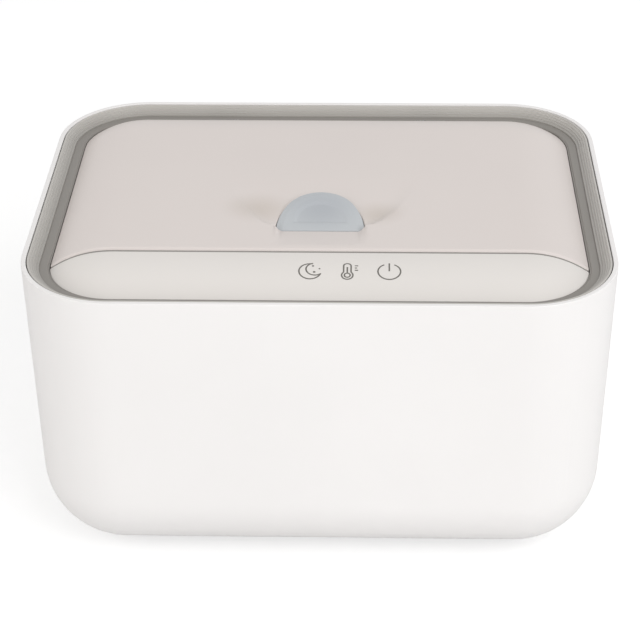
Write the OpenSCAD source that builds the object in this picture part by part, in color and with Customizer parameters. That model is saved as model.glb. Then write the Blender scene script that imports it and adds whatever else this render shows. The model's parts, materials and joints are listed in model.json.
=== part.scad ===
// Baby wipe warmer: a drafted casing with a stepped rim, a heated tub inside,
// a sloped touch panel and a crowned lid that opens with a half-moon button.
// Millimetres. X is the width, -Y is the front, Z is up. The origin is on the
// surface that the feet stand on, under the middle of the casing.

/* [Casing] */
// Width of the casing at its rim
body_w = 220; // [206:1:240]
// Depth of the casing at its rim
body_d = 168; // [160:1:184]
// Height of the casing, from its underside to its rim
body_h = 120.8; // [116:0.2:136]
// Corner radius of the rim, seen from above
corner_r = 35; // [34.5:0.5:38]
// Radius of the rounded bottom edge
bottom_r = 31.5; // [24:0.5:32]
// Draft of the walls, in degrees
draft = 1; // [0.5:0.1:1.2]
// Thickness of the casing's wall
wall = 2.5; // [2:0.1:3]
// Width of the thin white strip that the rim shows
rim_t = 1.8; // [1.4:0.1:2]
// How far the feet stand proud of the underside
foot_proud = 1.5; // [1:0.1:2.5]
// Diameter of a foot
foot_d = 12; // [10:0.5:14]

/* [Trim ring and ledge] */
// Number of small terraces in the ring
terrace_n = 5; // [3:1:6]
// Tread width of one terrace
terrace_w = 0.81; // [0.7:0.01:1]
// Riser height of one terrace
terrace_h = 0.72; // [0.6:0.02:0.9]
// Drop from the rim to the first tread
first_drop = 0.3; // [0.1:0.05:0.6]
// Width of the flat ledge inside the ring
ledge_w = 3.7; // [3:0.1:4.5]
// Gap between the rim strip and the ring
ring_gap = 0.35; // [0.2:0.05:0.5]

/* [Lid and panel] */
// Height of the crown above the rim
crown_h = 3.4; // [2.6:0.1:5]
// Radius of the soft shoulder round the crown
shoulder_r = 38; // [34:0.5:44]
// Width of the shoulder, seen from above
shoulder_w = 23.2; // [20:0.2:23.6]
// Wall of the lid and of the panel
lid_wall = 2.4; // [2:0.1:2.8]
// Gap all round the lid and the panel
lid_gap = 0.5; // [0.4:0.05:0.8]
// Distance of the seam from the front of the rim
seam_in = 32.7; // [31:0.1:34]
// Gap in the seam between the panel and the lid
seam_gap = 0.8; // [0.5:0.05:1.2]
// Height of the skirt below the shoulder
skirt_h = 4.8; // [4:0.1:5.5]

/* [Button] */
// Width of the half-moon button
button_w = 33.6; // [30:0.2:36]
// Length of the half-moon button, front to back
button_len = 22.2; // [20.4:0.2:24]
// Slope of the button's face, in degrees
button_tilt = 14; // [10:1:16]
// Distance of the button's front edge from the seam
button_in = 20.5; // [19.5:0.1:21.5]
// Travel of the button and of the latch
press = 2.5; // [2:0.1:2.6]
// Depth of the scoop at the button's front edge
scoop_d = 2.8; // [2.2:0.1:3.2]
// Length of the scoop, from the button's front edge to the back
scoop_l = 38.8; // [34:0.2:42]
// Length of the ramp in front of the button
ramp_l = 15.9; // [14:0.1:16.5]

/* [Tub] */
// Distance from the side of the rim to the inside of the tub
tub_side = 22; // [21:0.5:26]
// Corner radius of the tub
tub_r = 18; // [14:1:24]
// Wall of the tub
tub_wall = 2; // [1.6:0.1:2.4]
// Height of the tub's underside above the surface
tub_z = 24; // [22:0.5:32]

/* [Hinge] */
// Distance of the hinge axis from the back of the rim
hinge_in = 14; // [13.8:0.1:14.3]
// Distance from the hinge axis to the inside of the tub
hinge_room = 15.6; // [15.4:0.1:20]
// Diameter of a hinge pin
pin_d = 2.5; // [2:0.1:2.6]
// Distance between the two hinges
hinge_span = 92; // [80:1:110]

/* [Fits] */
// Running clearance of the hinge, on the radius
run_fit = 0.06; // [0.03:0.01:0.1]
// Clearance of fixed pins and screws, on the radius
snug_fit = 0.03; // [0.02:0.01:0.05]
// Clearance between a piece and what guides it
slide_fit = 0.3; // [0.2:0.05:0.4]

/* [Hidden] */
$fn = 64;
eps = 0.5;            // how far a cut runs past a face

// Heights
z_base = foot_proud;
z_rim = z_base + body_h;
z_ledge = z_rim - first_drop - terrace_n*terrace_h;
z_top = z_rim + crown_h;
z_edge = z_top - shoulder_r + sqrt(pow(shoulder_r, 2) - pow(shoulder_w, 2));
z_skirt = z_edge - skirt_h;

// Offsets inwards from the rim's outline
ring_out = rim_t + ring_gap;
ring_in = ring_out + terrace_n*terrace_w;
ledge_in = ring_in + ledge_w;
lid_off = ledge_in + lid_gap;

// Upper frame
ledge_t = 2;                            // thickness under the ring
ledge_bevel = 0.5;                      // clears the lid's corners as it opens
z_seat = z_ledge - 1.1;                 // the ring sits here
z_ledge_under = z_seat - ledge_t;
frame_wall = 2;
shelf_t = 2;
z_shelf = z_skirt - 6;                  // top of the shelf round the tub

// Tub
flange_w = 5;
flange_t = 1.6;
z_tub_rim = z_shelf + flange_t;
bead_w = 1.6;
bead_h = 0.8;
tub_draft = 1.5;
tub_bottom_r = 8;

// Lid
seam_y = -body_d/2 + seam_in;
lid_front = seam_y + seam_gap/2;
panel_back = seam_y - seam_gap/2;
front_wall = 2.2;
liner_t = 2;
z_liner = z_skirt + 0.5;                // top of the liner
seal_w = 4;                             // how far the seal reaches past the tub
seal_t = z_liner - liner_t - z_tub_rim - bead_h - slide_fit;
tub_front = lid_front + front_wall + slide_fit + seal_w;
tub_back = body_d/2 - hinge_in - hinge_room;
tub_w = body_w - 2*tub_side;            // inside width of the tub
tub_d = tub_back - tub_front;           // inside depth, front to back
tub_y = (tub_back + tub_front)/2;
seam_wall_t = 2.2;

// Heating stack, under the tub's floor
spreader_t = 1.2;
film_t = 0.4;
pad_t = 4;
stack_w = tub_w - 26;
stack_d = tub_d - 22;
z_spreader = tub_z - spreader_t;
z_film = z_spreader - film_t;
z_pad = z_film - pad_t;
sensor_x = stack_w/5;
fuse_x = stack_w/5;

// Hinge
hinge_y = body_d/2 - hinge_in;
hinge_z = z_edge + 0.4;
eye_r = 2.3;                            // outside radius of the hinge eyes
eye_l = 8;                              // length of the frame's eye
spring_l = 5.4;                         // room for the coil beside it
lid_eye_l = 7;
post_half = 1.9;
side_gap = 0.3;
eye_in = hinge_span/2 - eye_l/2;        // places along X, from the inside outwards
notch_in = eye_in - spring_l - side_gap;
notch_out = hinge_span/2 + eye_l/2 + side_gap;
pin_in = notch_in - lid_eye_l;
pin_out = notch_out + lid_eye_l;
hinge_wire = 0.7;
coil_r = 2;
coil_steps = 30;
coil_sweep = 4*360 - 60;
coil_pitch = 1.2;
leg_l = 9.85;                           // the leg that bears on the lid

// Scoop and button
button_y = seam_y + button_in;
scoop_back = button_y + scoop_l;        // y where the scoop fades out
fan_w = 22.1;                           // how far the fan spreads on each side
fan_curve = 0.55;
fan_wall = 8;                           // width of the fan's soft side wall
ramp_wall = 1.8;
ramp_front = button_y - ramp_l;         // y where the front ramp starts
ramp_rows = 6;
fan_rows = 14;
across_n = 12;
past = 1.06;                            // how far a row runs past the crease
z_face = z_top - scoop_d;               // front edge of the button's face
bevel_w = 2.6;
bevel_h = 0.7;
button_gap = 0.35;
face_len = button_len/cos(button_tilt);
skin = 0.01;                            // a layer that only gives a hull its outline
button_wall = 1.8;
recess_w = 19.2;
recess_len = 11.2;
recess_y = 4.9;                         // from the button's front edge to the recess
recess_t = 0.6;
z_flange_top = z_top - scoop_d - lid_wall - slide_fit;
button_flange = 1.2;
button_flange_t = 1.5;
z_button_base = z_flange_top - button_flange_t;

// Latch
slider_t = 2;
slider_half = 6.5;
z_slider = z_liner + slide_fit;
nose = 2.4;
stem_half = 4;                          // the button's stem, which drives the slider
stem_front = button_y + 5.8;
stem_y = stem_front + 3;
z_stem = z_slider + slider_t + 0.4;
ramp_gap = 0.42;
slider_back = stem_y + 13;
ramp_back = stem_y + 8;

// Springs of the button and the latch
spring_wire = 0.5;
end_gap = 0.1;                          // between a spring's end and its seat
button_spring_x = 9.2;
button_spring_y = button_y + 11.2;
button_spring_r = 1.9;
button_turns = 5;
z_spring_top = z_face + (button_spring_y - button_spring_r - button_y)*tan(button_tilt)
    - button_wall/cos(button_tilt) - spring_wire/2 - end_gap;
z_spring_foot = z_liner + spring_wire/2 + end_gap;
button_pitch = (z_spring_top - z_spring_foot)/button_turns;
latch_spring_y0 = slider_back + 0.4;
latch_spring_y1 = slider_back + 14;
latch_spring_r = 2.2;
latch_turns = 6;
latch_pitch = (latch_spring_y1 - latch_spring_y0 - spring_wire)/latch_turns;
z_latch_spring = z_liner + latch_spring_r + spring_wire/2 + 0.2;

// Fasteners
screw_r = 1.45;
screw_head_r = 2.8;
screw_head_t = 1.6;

// Base
plate_in = bottom_r + 5.5;              // keeps the plate on the flat underside
plate_w = body_w - 2*plate_in;
plate_d = body_d - 2*plate_in;
plate_r = 8;
plate_t = 2.5;
plate_gap = 0.4;
rim_ring_t = 2.5;                       // the casing's floor ring over the plate
rim_ring_in = 4;                        // how far it reaches inside the plate
foot_t = 2.5;
foot_x = plate_w/2 - 23;
foot_y = plate_d/2 - 13;
base_screw_x = plate_w/2 - 6;
base_screw_y = plate_d/2 - 6;

// Frame screws, in bosses between the tub and the casing
frame_screw_x = body_w/2 - 6.9;
frame_screw_y = body_d/2 - 48;
frame_boss_r = 2.8;
lug_t = 4;
z_lug = z_ledge_under - 14;

// Boards
board_w = 84;
board_d = 52;
board_t = 1.6;
post_h = 5;
z_board = z_base + plate_t + post_h;
cell_x = board_w/7;                     // the grid that the components keep to
cell_y = board_d/4.4;
cap_r = cell_x/3;
cap_h = 7;
chip_h = 1.7;
led_w = 3.5;
led_step = 14.5;
touch_w = 56;
touch_d = 11;
touch_y = (panel_back - body_d/2 + lid_off)/2;  // middle of the panel
z_touch = z_shelf + 4;
panel_screw_in = [60, 30];              // from the side of the rim
icon_x = [-2.9, 10.9, 26];              // the three touch signs

// Power inlet
inlet_z = 40;
inlet_r = 5.4;
inlet_y = body_d/2 - (z_rim - inlet_z)*tan(draft) - 1.2;
socket_r = 3.1;
socket_l = 9;

// Shades
white = [0.95, 0.94, 0.94];
warm_grey = [0.84, 0.81, 0.79];
trim_grey = [0.70, 0.70, 0.69];
ledge_grey = [0.53, 0.51, 0.49];
blue_grey = [0.70, 0.73, 0.76];
dark = [0.2, 0.2, 0.21];
board_green = [0.1, 0.4, 0.25];
steel = [0.7, 0.7, 0.72];

// Sweeps an outline round a rounded rectangle. The outline's x is the distance
// out from the corner axes, so x = r lies on the rectangle itself.
module around(w, d, r) {
    for (q = [0 : 3])
        rotate([0, 0, 90*q]) {
            along = q % 2 == 0 ? [w, d] : [d, w];
            translate([along[0]/2 - r, along[1]/2 - r, 0])
                rotate_extrude(angle = 90) children();
            translate([along[0]/2 - r, along[1]/2 - r, 0])
                rotate([90, 0, 0]) linear_extrude(along[1] - 2*r) children();
        }
}

// The block between the corner axes, which fills what around() leaves
module core(w, d, r, z0, z1)
    translate([-w/2 + r, -d/2 + r, z0]) cube([w - 2*r, d - 2*r, z1 - z0]);

// A plain rounded slab
module slab(w, d, r, z0, z1) {
    around(w, d, r) translate([0, z0]) square([r, z1 - z0]);
    core(w, d, r, z0, z1);
}

// Half the section of a drafted cup with a round bottom edge. The wall passes
// through r at the height z1, and the cup is filled up to top.
module cup_section(r, rb, z0, z1, angle, top) {
    cz = z0 + rb;
    cx = r - (rb + (z1 - cz)*sin(angle))/cos(angle);
    intersection() {
        union() {
            translate([cx, cz]) circle(rb, $fn = 128);
            polygon([
                [0, z0], [cx, z0], [cx, cz],
                [cx + rb*cos(angle), cz - rb*sin(angle)],
                [r + (top - z1)*tan(angle), top], [0, top]
            ]);
        }
        translate([0, z0]) square([r + 20, top - z0]);
    }
}

module cup(w, d, r, rb, z0, z1, angle, top) {
    around(w, d, r) cup_section(r, rb, z0, z1, angle, top);
    core(w, d, r, z0, top);
}

// The crowned form that the lid and the panel are cut from
module pillow(inset, z0) {
    r = corner_r - lid_off - inset;
    x0 = corner_r - lid_off - shoulder_w;
    around(body_w, body_d, corner_r)
        intersection() {
            union() {
                translate([x0, z_top - shoulder_r])
                    circle(shoulder_r - inset, $fn = 180);
                translate([0, z0]) square([x0, z_top - inset - z0]);
            }
            translate([0, z0]) square([r, z_top - inset - z0]);
        }
    core(body_w, body_d, corner_r, z0, z_top - inset);
}

// A box between two corners
module span(a, b) translate(a) cube(b - a);

// Everything behind, or in front of, a plane across the depth
module behind(y) span([-body_w, y, -1], [body_w, body_d, z_top + 20]);
module before(y) span([-body_w, -body_d, -1], [body_w, y, z_top + 20]);

// Copies at the four places (x, y)
module at_four(x, y)
    for (sx = [-1, 1], sy = [-1, 1]) translate([sx*x, sy*y, 0]) children();

// A self-tapping screw whose head lies under z = 0 and whose shank goes up
module screw(length) {
    translate([0, 0, -screw_head_t])
        difference() {
            cylinder(r = screw_head_r, h = screw_head_t);
            for (turn = [0, 90])
                rotate([0, 0, turn])
                    translate([-1.7, -0.3, -eps]) cube([3.4, 0.6, 0.7 + eps]);
        }
    cylinder(r = screw_r, h = length);
}

// A round tube along rings, each given as [centre, across, up]
module tube(rings, radius, sides = 6) {
    n = len(rings);
    points = [
        for (ring = rings, k = [0 : sides - 1])
            ring[0] + radius*cos(360*k/sides)*ring[1]
                    + radius*sin(360*k/sides)*ring[2]
    ];
    walls = [
        for (i = [0 : n - 2], k = [0 : sides - 1])
            let (a = i*sides + k, b = i*sides + (k + 1) % sides)
                each [[a, b, b + sides], [a, b + sides, a + sides]]
    ];
    ends = [
        [for (k = [0 : sides - 1]) sides - 1 - k],
        [for (k = [0 : sides - 1]) (n - 1)*sides + k]
    ];
    polyhedron(points, concat(walls, ends), convexity = 4);
}

// Rings of a coil that climbs along Z, with eight rings a turn
function coil(radius, turns, pitch) = [
    for (i = [0 : 8*turns])
        let (a = 45*i, across = [cos(a), sin(a), 0])
            [radius*across + [0, 0, pitch*i/8], across, [0, 0, 1]]
];

// Least gap between neighbouring turns of a coil, on its ring centres
function coil_gap(rings, wire) =
    min([for (i = [0 : len(rings) - 9]) norm(rings[i + 8][0] - rings[i][0])]) - wire;

// The outline of a half-moon with its straight front on y = 0. Three arcs that
// run into each other follow a half ellipse. It grows by grow round the arch,
// and by front past the straight side.
side_steps = 8;
back_steps = 24;
function arc(centre, radius, from, to, steps) =
    [for (i = [0 : steps])
        let (a = from + (to - from)*i/steps) centre + radius*[cos(a), sin(a)]];
function half_moon_outline(w, len, grow = 0, front = 0) =
    let (
        a = w/2,
        side_r = len*len/a,
        back_r = a*(a + len)/(2*len),
        side = [a - side_r, 0],
        back = [0, len - back_r],
        meet = atan2(back[1], -side[0]),
        side_arc = arc(side, side_r + grow, 0, meet, side_steps),
        back_arc = arc(back, back_r + grow, meet, 180 - meet, back_steps),
        foot = front > 0 ? [[a + grow, -front]] : []
    )
    concat(
        foot, [for (i = [0 : side_steps - 1]) side_arc[i]], back_arc,
        [for (i = [side_steps - 1 : -1 : 0]) [-side_arc[i][0], side_arc[i][1]]],
        [for (q = foot) [-q[0], q[1]]]
    );

module half_moon(w, len, h, grow = 0, front = 0)
    linear_extrude(h) polygon(half_moon_outline(w, len, grow, front));

module outer_casing() color(white) {
    difference() {
        union() {
            difference() {
                cup(body_w, body_d, corner_r, bottom_r, z_base, z_rim, draft, z_rim);
                cup(body_w - 2*wall, body_d - 2*wall, corner_r - wall, bottom_r - wall,
                    z_base + wall, z_rim, draft, z_rim + eps);
            }
            floor_ring();
            for (mx = [0, 1], my = [0, 1])
                mirror([mx, 0, 0]) mirror([0, my, 0]) casing_lug();
        }
        // The rebate that leaves the thin strip and seats the ring
        slab(body_w - 2*rim_t, body_d - 2*rim_t, corner_r - rim_t, z_seat, z_rim + eps);
        base_opening();
        at_four(base_screw_x, base_screw_y)
            translate([0, 0, z_base]) cylinder(r = screw_r + snug_fit, h = 11);
        inlet_hole();
    }
}

// The ring inside the casing's floor that the base plate is screwed to
module floor_ring() {
    slab(plate_w + 12, plate_d + 12, plate_r + 6, z_base + plate_t - 0.5,
         z_base + plate_t + rim_ring_t);
    at_four(base_screw_x, base_screw_y)
        translate([0, 0, z_base + plate_t]) cylinder(r = 4, h = 9.5);
}

module base_opening() {
    slab(plate_w + 2*plate_gap, plate_d + 2*plate_gap, plate_r + plate_gap,
         z_base - eps, z_base + plate_t);
    difference() {
        slab(plate_w - 2*rim_ring_in, plate_d - 2*rim_ring_in, plate_r - rim_ring_in,
             z_base, z_base + plate_t + rim_ring_t + eps);
        at_four(base_screw_x, base_screw_y)
            translate([0, 0, z_base + plate_t]) cylinder(r = 4, h = 9.5);
    }
}

// A lug on the side wall that a frame screw passes through
module casing_lug()
    difference() {
        union() {
            span([frame_screw_x - 4, frame_screw_y - 5, z_lug - lug_t],
                 [body_w/2 - wall/2 - 0.6, frame_screw_y + 5, z_lug]);
            for (y = [-5, 3.5])
                translate([0, frame_screw_y + y, 0])
                    rotate([90, 0, 0]) mirror([0, 0, 1]) linear_extrude(1.5)
                        polygon([
                            [body_w/2 - wall/2 - 0.6, z_lug - lug_t],
                            [body_w/2 - wall/2 - 0.7, z_lug - lug_t - 9],
                            [frame_screw_x - 4, z_lug - lug_t]
                        ]);
        }
        translate([frame_screw_x, frame_screw_y, z_lug - lug_t - eps])
            cylinder(r = screw_r + 0.15, h = lug_t + 2*eps);
    }

module inlet_hole()
    translate([0, inlet_y, inlet_z]) rotate([-90, 0, 0]) {
        translate([0, 0, -wall - 4]) cylinder(r = inlet_r + 0.2, h = wall + 8);
        cylinder(r = inlet_r + 2.1, h = 6);
    }

module base_plate() color(white)
    difference() {
        union() {
            slab(plate_w, plate_d, plate_r, z_base, z_base + plate_t);
            at_four(board_w/2 - 4, board_d/2 - 4)
                translate([0, 0, z_base + plate_t]) cylinder(r = 3, h = post_h);
        }
        at_four(board_w/2 - 4, board_d/2 - 4)
            translate([0, 0, z_base + plate_t]) cylinder(r = screw_r + snug_fit, h = 8);
        at_four(base_screw_x, base_screw_y) {
            translate([0, 0, z_base - eps]) cylinder(r = screw_r + 0.15, h = 6);
            translate([0, 0, z_base - eps])
                cylinder(r = screw_head_r + 0.2, h = screw_head_t + 0.1 + eps);
        }
        at_four(foot_x, foot_y)
            translate([0, 0, z_base - eps])
                cylinder(d = foot_d + 0.4, h = foot_t - foot_proud + eps);
        // Vent slots under the board
        for (i = [-3 : 3], sy = [-1, 1])
            translate([i*8 - 1.1, sy*12 - 8, z_base - eps])
                cube([2.2, 16, plate_t + 2*eps]);
    }

module rubber_feet() color(dark)
    at_four(foot_x, foot_y)
        rotate_extrude()
            polygon([
                [0, 0], [foot_d/2 - 0.8, 0], [foot_d/2, 0.8],
                [foot_d/2, foot_t], [0, foot_t]
            ]);

module base_screws() color(steel)
    at_four(base_screw_x, base_screw_y)
        translate([0, 0, z_base + screw_head_t + 0.1]) screw(8.5);

// Terraces that step down and inwards from the rim strip to the ledge
module trim_ring() color(trim_grey)
    around(body_w, body_d, corner_r)
        polygon([
            [corner_r - ring_out, z_seat],
            for (i = [0 : terrace_n - 1])
                let (z = z_rim - first_drop - i*terrace_h)
                    each [
                        [corner_r - ring_out - i*terrace_w, z],
                        [corner_r - ring_out - (i + 1)*terrace_w, z]
                    ],
            [corner_r - ring_in, z_seat]
        ]);

// The frame's rim: a flange under the ring, the ledge and the wall inside it
module frame_section()
    polygon([
        [corner_r - wall - slide_fit, z_ledge_under],
        [corner_r - wall - slide_fit, z_seat],
        [corner_r - ring_in - 0.05, z_seat],
        [corner_r - ring_in - 0.05, z_ledge],
        [corner_r - ledge_in + ledge_bevel, z_ledge],
        [corner_r - ledge_in, z_ledge - ledge_bevel],
        [corner_r - ledge_in, z_shelf - shelf_t],
        [corner_r - ledge_in + frame_wall, z_shelf - shelf_t],
        [corner_r - ledge_in + frame_wall, z_ledge_under]
    ]);

module upper_frame() color(ledge_grey)
    difference() {
        union() {
            around(body_w, body_d, corner_r) frame_section();
            slab(body_w - 2*ledge_in + 1, body_d - 2*ledge_in + 1,
                 corner_r - ledge_in + 0.5, z_shelf - shelf_t, z_shelf);
            seam_wall();
            for (sx = [-1, 1]) hinge_post(sx);
            at_four(frame_screw_x, frame_screw_y)
                translate([0, 0, z_lug])
                    cylinder(r = frame_boss_r, h = z_ledge_under - z_lug + 0.5);
            for (x = touch_posts())
                translate([x, touch_y, z_shelf - 0.5])
                    cylinder(r = 2.5, h = z_touch - z_shelf + 0.5);
        }
        tub_place(tub_wall + slide_fit, z_shelf - shelf_t - eps, z_shelf + eps);
        for (sx = [-1, 1])
            translate([sx*hinge_span/2, hinge_y, hinge_z]) rotate([0, 90, 0])
                cylinder(d = pin_d + 2*run_fit, h = eye_l + 2*eps, center = true);
        at_four(frame_screw_x, frame_screw_y)
            translate([0, 0, z_lug - eps])
                cylinder(r = screw_r + snug_fit, h = 11);
        for (x = panel_screw_x())
            translate([x, touch_y, z_shelf - shelf_t - eps])
                cylinder(r = screw_r + 0.15, h = shelf_t + 2*eps);
    }

// The wall under the seam, with the slot that the latch hooks into
module seam_wall()
    difference() {
        intersection() {
            span([-body_w/2, panel_back - seam_wall_t, z_shelf - 0.5],
                 [body_w/2, panel_back, z_top]);
            pillow(lid_wall + slide_fit, z_shelf - 1);
        }
        span([-slider_half - 0.6, panel_back - seam_wall_t - eps, z_slider - 0.4],
             [slider_half + 0.6, panel_back + eps, z_slider + slider_t + slide_fit]);
    }

module hinge_post(sx)
    translate([sx*hinge_span/2 - eye_l/2, 0, 0]) {
        span([0, hinge_y - post_half, z_shelf - 0.5],
             [eye_l, hinge_y + post_half, hinge_z]);
        translate([0, hinge_y, hinge_z]) rotate([0, 90, 0])
            cylinder(r = eye_r, h = eye_l);
        // A foot that stiffens the post
        translate([eye_l/2 - 1, 0, 0]) rotate([90, 0, 90]) linear_extrude(2)
            polygon([
                [hinge_y - post_half + 0.2, z_shelf - 0.5],
                [hinge_y - post_half - 3.5, z_shelf - 0.5],
                [hinge_y - post_half + 0.2, z_shelf + 5]
            ]);
    }

function touch_posts() = [for (s = [-1, 1]) icon_x[1] + s*(touch_w/2 - 4)];
function panel_screw_x() = [for (s = [-1, 1], x = panel_screw_in) s*(body_w/2 - x)];

module frame_screws() color(steel)
    at_four(frame_screw_x, frame_screw_y)
        translate([0, 0, z_lug - lug_t]) screw(lug_t + 9);

// A slab that follows the tub, larger than its inside by grow
module tub_place(grow, z0, z1)
    translate([0, tub_y, 0])
        slab(tub_w + 2*grow, tub_d + 2*grow, tub_r + grow, z0, z1);

module inner_tub() color(white)
    difference() {
        union() {
            translate([0, tub_y, 0])
                cup(tub_w + 2*tub_wall, tub_d + 2*tub_wall, tub_r + tub_wall,
                    tub_bottom_r + tub_wall, tub_z, z_shelf, tub_draft, z_tub_rim);
            tub_place(flange_w, z_shelf, z_tub_rim);
            tub_place(1 + bead_w, z_shelf, z_tub_rim + bead_h);
        }
        translate([0, tub_y, 0])
            cup(tub_w, tub_d, tub_r, tub_bottom_r, tub_z + tub_wall, z_shelf,
                tub_draft, z_tub_rim + bead_h + eps);
        tub_place(1, z_tub_rim, z_tub_rim + bead_h + eps);
    }

module stack_layer(inset, z0, z1)
    translate([0, tub_y, 0])
        slab(stack_w - 2*inset, stack_d - 2*inset, 6, z0, z1);

module heat_spreader() color(steel) stack_layer(0, z_spreader, tub_z);

module heating_film() color([0.8, 0.5, 0.2]) stack_layer(3, z_film, z_spreader);

module insulation_pad() color([0.85, 0.85, 0.8])
    difference() {
        stack_layer(1, z_pad, z_film);
        translate([sensor_x, tub_y, z_pad - eps]) cylinder(r = 4, h = pad_t + 2*eps);
        translate([-fuse_x - 9, tub_y - 4, z_pad - eps])
            cube([18, 8, pad_t + 2*eps]);
    }

module temperature_sensor() color([0.2, 0.2, 0.2])
    translate([sensor_x, tub_y, 0]) {
        translate([0, 0, z_film - 1.5]) cylinder(r = 3, h = 1.5);
        translate([0, 0, z_film - 3.2]) cylinder(r = 1.6, h = 1.8);
    }

module thermal_fuse() color([0.85, 0.85, 0.9])
    translate([-fuse_x, tub_y, z_film - 2]) rotate([0, 90, 0]) {
        cylinder(r = 2, h = 10, center = true);
        cylinder(r = 0.5, h = 16, center = true);
    }

module main_board() color(board_green)
    difference() {
        slab(board_w, board_d, 2, z_board, z_board + board_t);
        at_four(board_w/2 - 4, board_d/2 - 4)
            translate([0, 0, z_board - eps])
                cylinder(r = screw_r + 0.15, h = board_t + 2*eps);
    }

module board_components() color(dark)
    translate([0, 0, z_board + board_t]) {
        for (i = [0, 1])                    // capacitors
            translate([cell_x*(i - 2.2), cell_y, 0]) cylinder(r = cap_r, h = cap_h);
        translate([0.2*cell_x, cell_y/2, 0]) cube([cell_x, cell_y, chip_h*3]);
        translate([-0.7*cell_x, -0.8*cell_y, 0]) cube([1.2*cell_x, 0.8*cell_y, chip_h]);
        for (i = [0, 1])                    // relays
            translate([cell_x*(1.3 + 0.8*i), -1.2*cell_y, 0])
                cube([cell_x/2, 0.4*cell_y, cap_h]);
        translate([-2.5*cell_x, -1.7*cell_y, 0]) cube([1.5*cell_x, cell_y/2, cap_h]);
        translate([1.8*cell_x, cell_y/3, 0]) cube([0.75*cell_x, 1.2*cell_y, cap_h]);
    }

module board_screws() color(steel)
    at_four(board_w/2 - 4, board_d/2 - 4)
        translate([0, 0, z_board + board_t]) mirror([0, 0, 1]) screw(6);

module control_panel() color(warm_grey)
    difference() {
        union() {
            intersection() {
                difference() {
                    pillow(0, z_skirt);
                    pillow(lid_wall, z_skirt - 1);
                }
                before(panel_back);
            }
            for (x = panel_screw_x())
                intersection() {
                    translate([x, touch_y, z_shelf]) cylinder(r = 3.2, h = 20);
                    pillow(0.5, z_shelf - 1);
                }
        }
        for (x = panel_screw_x())
            translate([x, touch_y, z_shelf - eps])
                cylinder(r = screw_r + snug_fit, h = 9.5);
    }

module panel_screws() color(steel)
    for (x = panel_screw_x())
        translate([x, touch_y, z_shelf - shelf_t]) screw(shelf_t + 8);

module touch_board() color(board_green)
    translate([icon_x[1] - touch_w/2, touch_y - touch_d/2, z_touch])
        cube([touch_w, touch_d, board_t]);

module touch_pads() color([0.3, 0.3, 0.3])
    intersection() {
        for (x = icon_x)
            translate([x, touch_y, z_touch + board_t]) cylinder(r = 3, h = 20);
        pillow(lid_wall + slide_fit, z_shelf);
    }

module night_light_leds() color([1, 0.95, 0.8])
    for (i = [0 : 3])
        translate([icon_x[1] - led_w/2 + (i - 1.5)*led_step, touch_y + 1.5, z_touch + board_t])
            cube([led_w, 2.8, 1.9]);

module power_inlet() color(dark)
    translate([0, inlet_y, inlet_z]) rotate([-90, 0, 0])
        difference() {
            union() {
                cylinder(r = inlet_r + 1.8, h = 1.2);
                translate([0, 0, -9]) cylinder(r = inlet_r, h = 9.5);
                translate([0, 0, -13]) cylinder(r = inlet_r - 0.6, h = 5);
            }
            translate([0, 0, 1.2 - socket_l]) cylinder(r = socket_r, h = socket_l + eps);
        }

module inlet_contact() color(steel)
    translate([0, inlet_y, inlet_z]) rotate([-90, 0, 0])
        translate([0, 0, 1.2 - socket_l]) cylinder(r = 1.05, h = socket_l - 1);

module inlet_nut() color(steel)
    translate([0, inlet_y + 1.2 - wall - 0.35, inlet_z]) rotate([90, 0, 0])
        difference() {
            cylinder(r = 8, h = 2.4, $fn = 6);
            translate([0, 0, -eps]) cylinder(r = inlet_r + snug_fit, h = 3.4);
        }

// One torsion spring: a leg on the shelf, a coil on the pin, a leg to the lid
function spring_rings() =
    let (
        turn = function (i) 180 - coil_sweep*i/coil_steps,
        across = function (a) [0, cos(a), sin(a)],
        at = function (i) [coil_pitch*coil_sweep/360*(i/coil_steps - 0.5), 0, 0],
        last = turn(coil_steps)
    ) [
        [at(0) + [0, -coil_r, z_shelf + 0.4 - hinge_z], across(180), [1, 0, 0]],
        for (i = [0 : coil_steps])
            [at(i) + coil_r*across(turn(i)), across(turn(i)), [1, 0, 0]],
        [at(coil_steps) + coil_r*across(last) + leg_l*[0, sin(last), -cos(last)],
         across(last), [1, 0, 0]]
    ];

function torsion_gap() =
    let (rings = [for (i = [1 : coil_steps + 1]) spring_rings()[i]])
        min([for (i = [0 : coil_steps - 8])
            min([for (j = [6 : min(9, coil_steps - i)])
                norm(rings[i + j][0] - rings[i][0])])]) - hinge_wire;

module hinge_springs() color(steel)
    for (sx = [-1, 1])
        translate([sx*(hinge_span/2 - eye_l/2 - spring_l/2 - 0.1), hinge_y, hinge_z])
            tube(spring_rings(), hinge_wire/2);

// The scoop round the button, as rows of points from the front to the back.
// u runs across from -1 to 1 over its width, and a little past it.
function scoop_fade(t) = t*(0.35 + 0.65*t);
function fan_half(t) = button_w/2 + (t < 1 ? fan_w*pow(1 - t, fan_curve) : 0);

// A point of the scoop's floor. The side wall starts as a crease and runs out.
function scoop_point(y, half, depth, wall_w, u) =
    let (s = half*(1 - abs(u)))
        [u*half, y, depth < 0 || s < 0 ? z_top + eps
                  : z_top - depth*(1 - pow(max(0, 1 - s/wall_w), 2))];
function ramp_row(i) =
    let (t = (i - 0.3)/(ramp_rows - 0.3))
        [for (k = [-across_n : across_n])
            scoop_point(ramp_front + (button_y - ramp_front)*t, button_w/2,
                        scoop_d*t, ramp_wall, spread(k))];
function fan_row(i) =
    let (t = 1 - i/(fan_rows - 0.5))
        [for (k = [-across_n : across_n])
            scoop_point(scoop_back + (button_y - scoop_back)*t, fan_half(t),
                        t < 0 ? -1 : scoop_d*scoop_fade(t), fan_wall, spread(k))];

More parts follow.
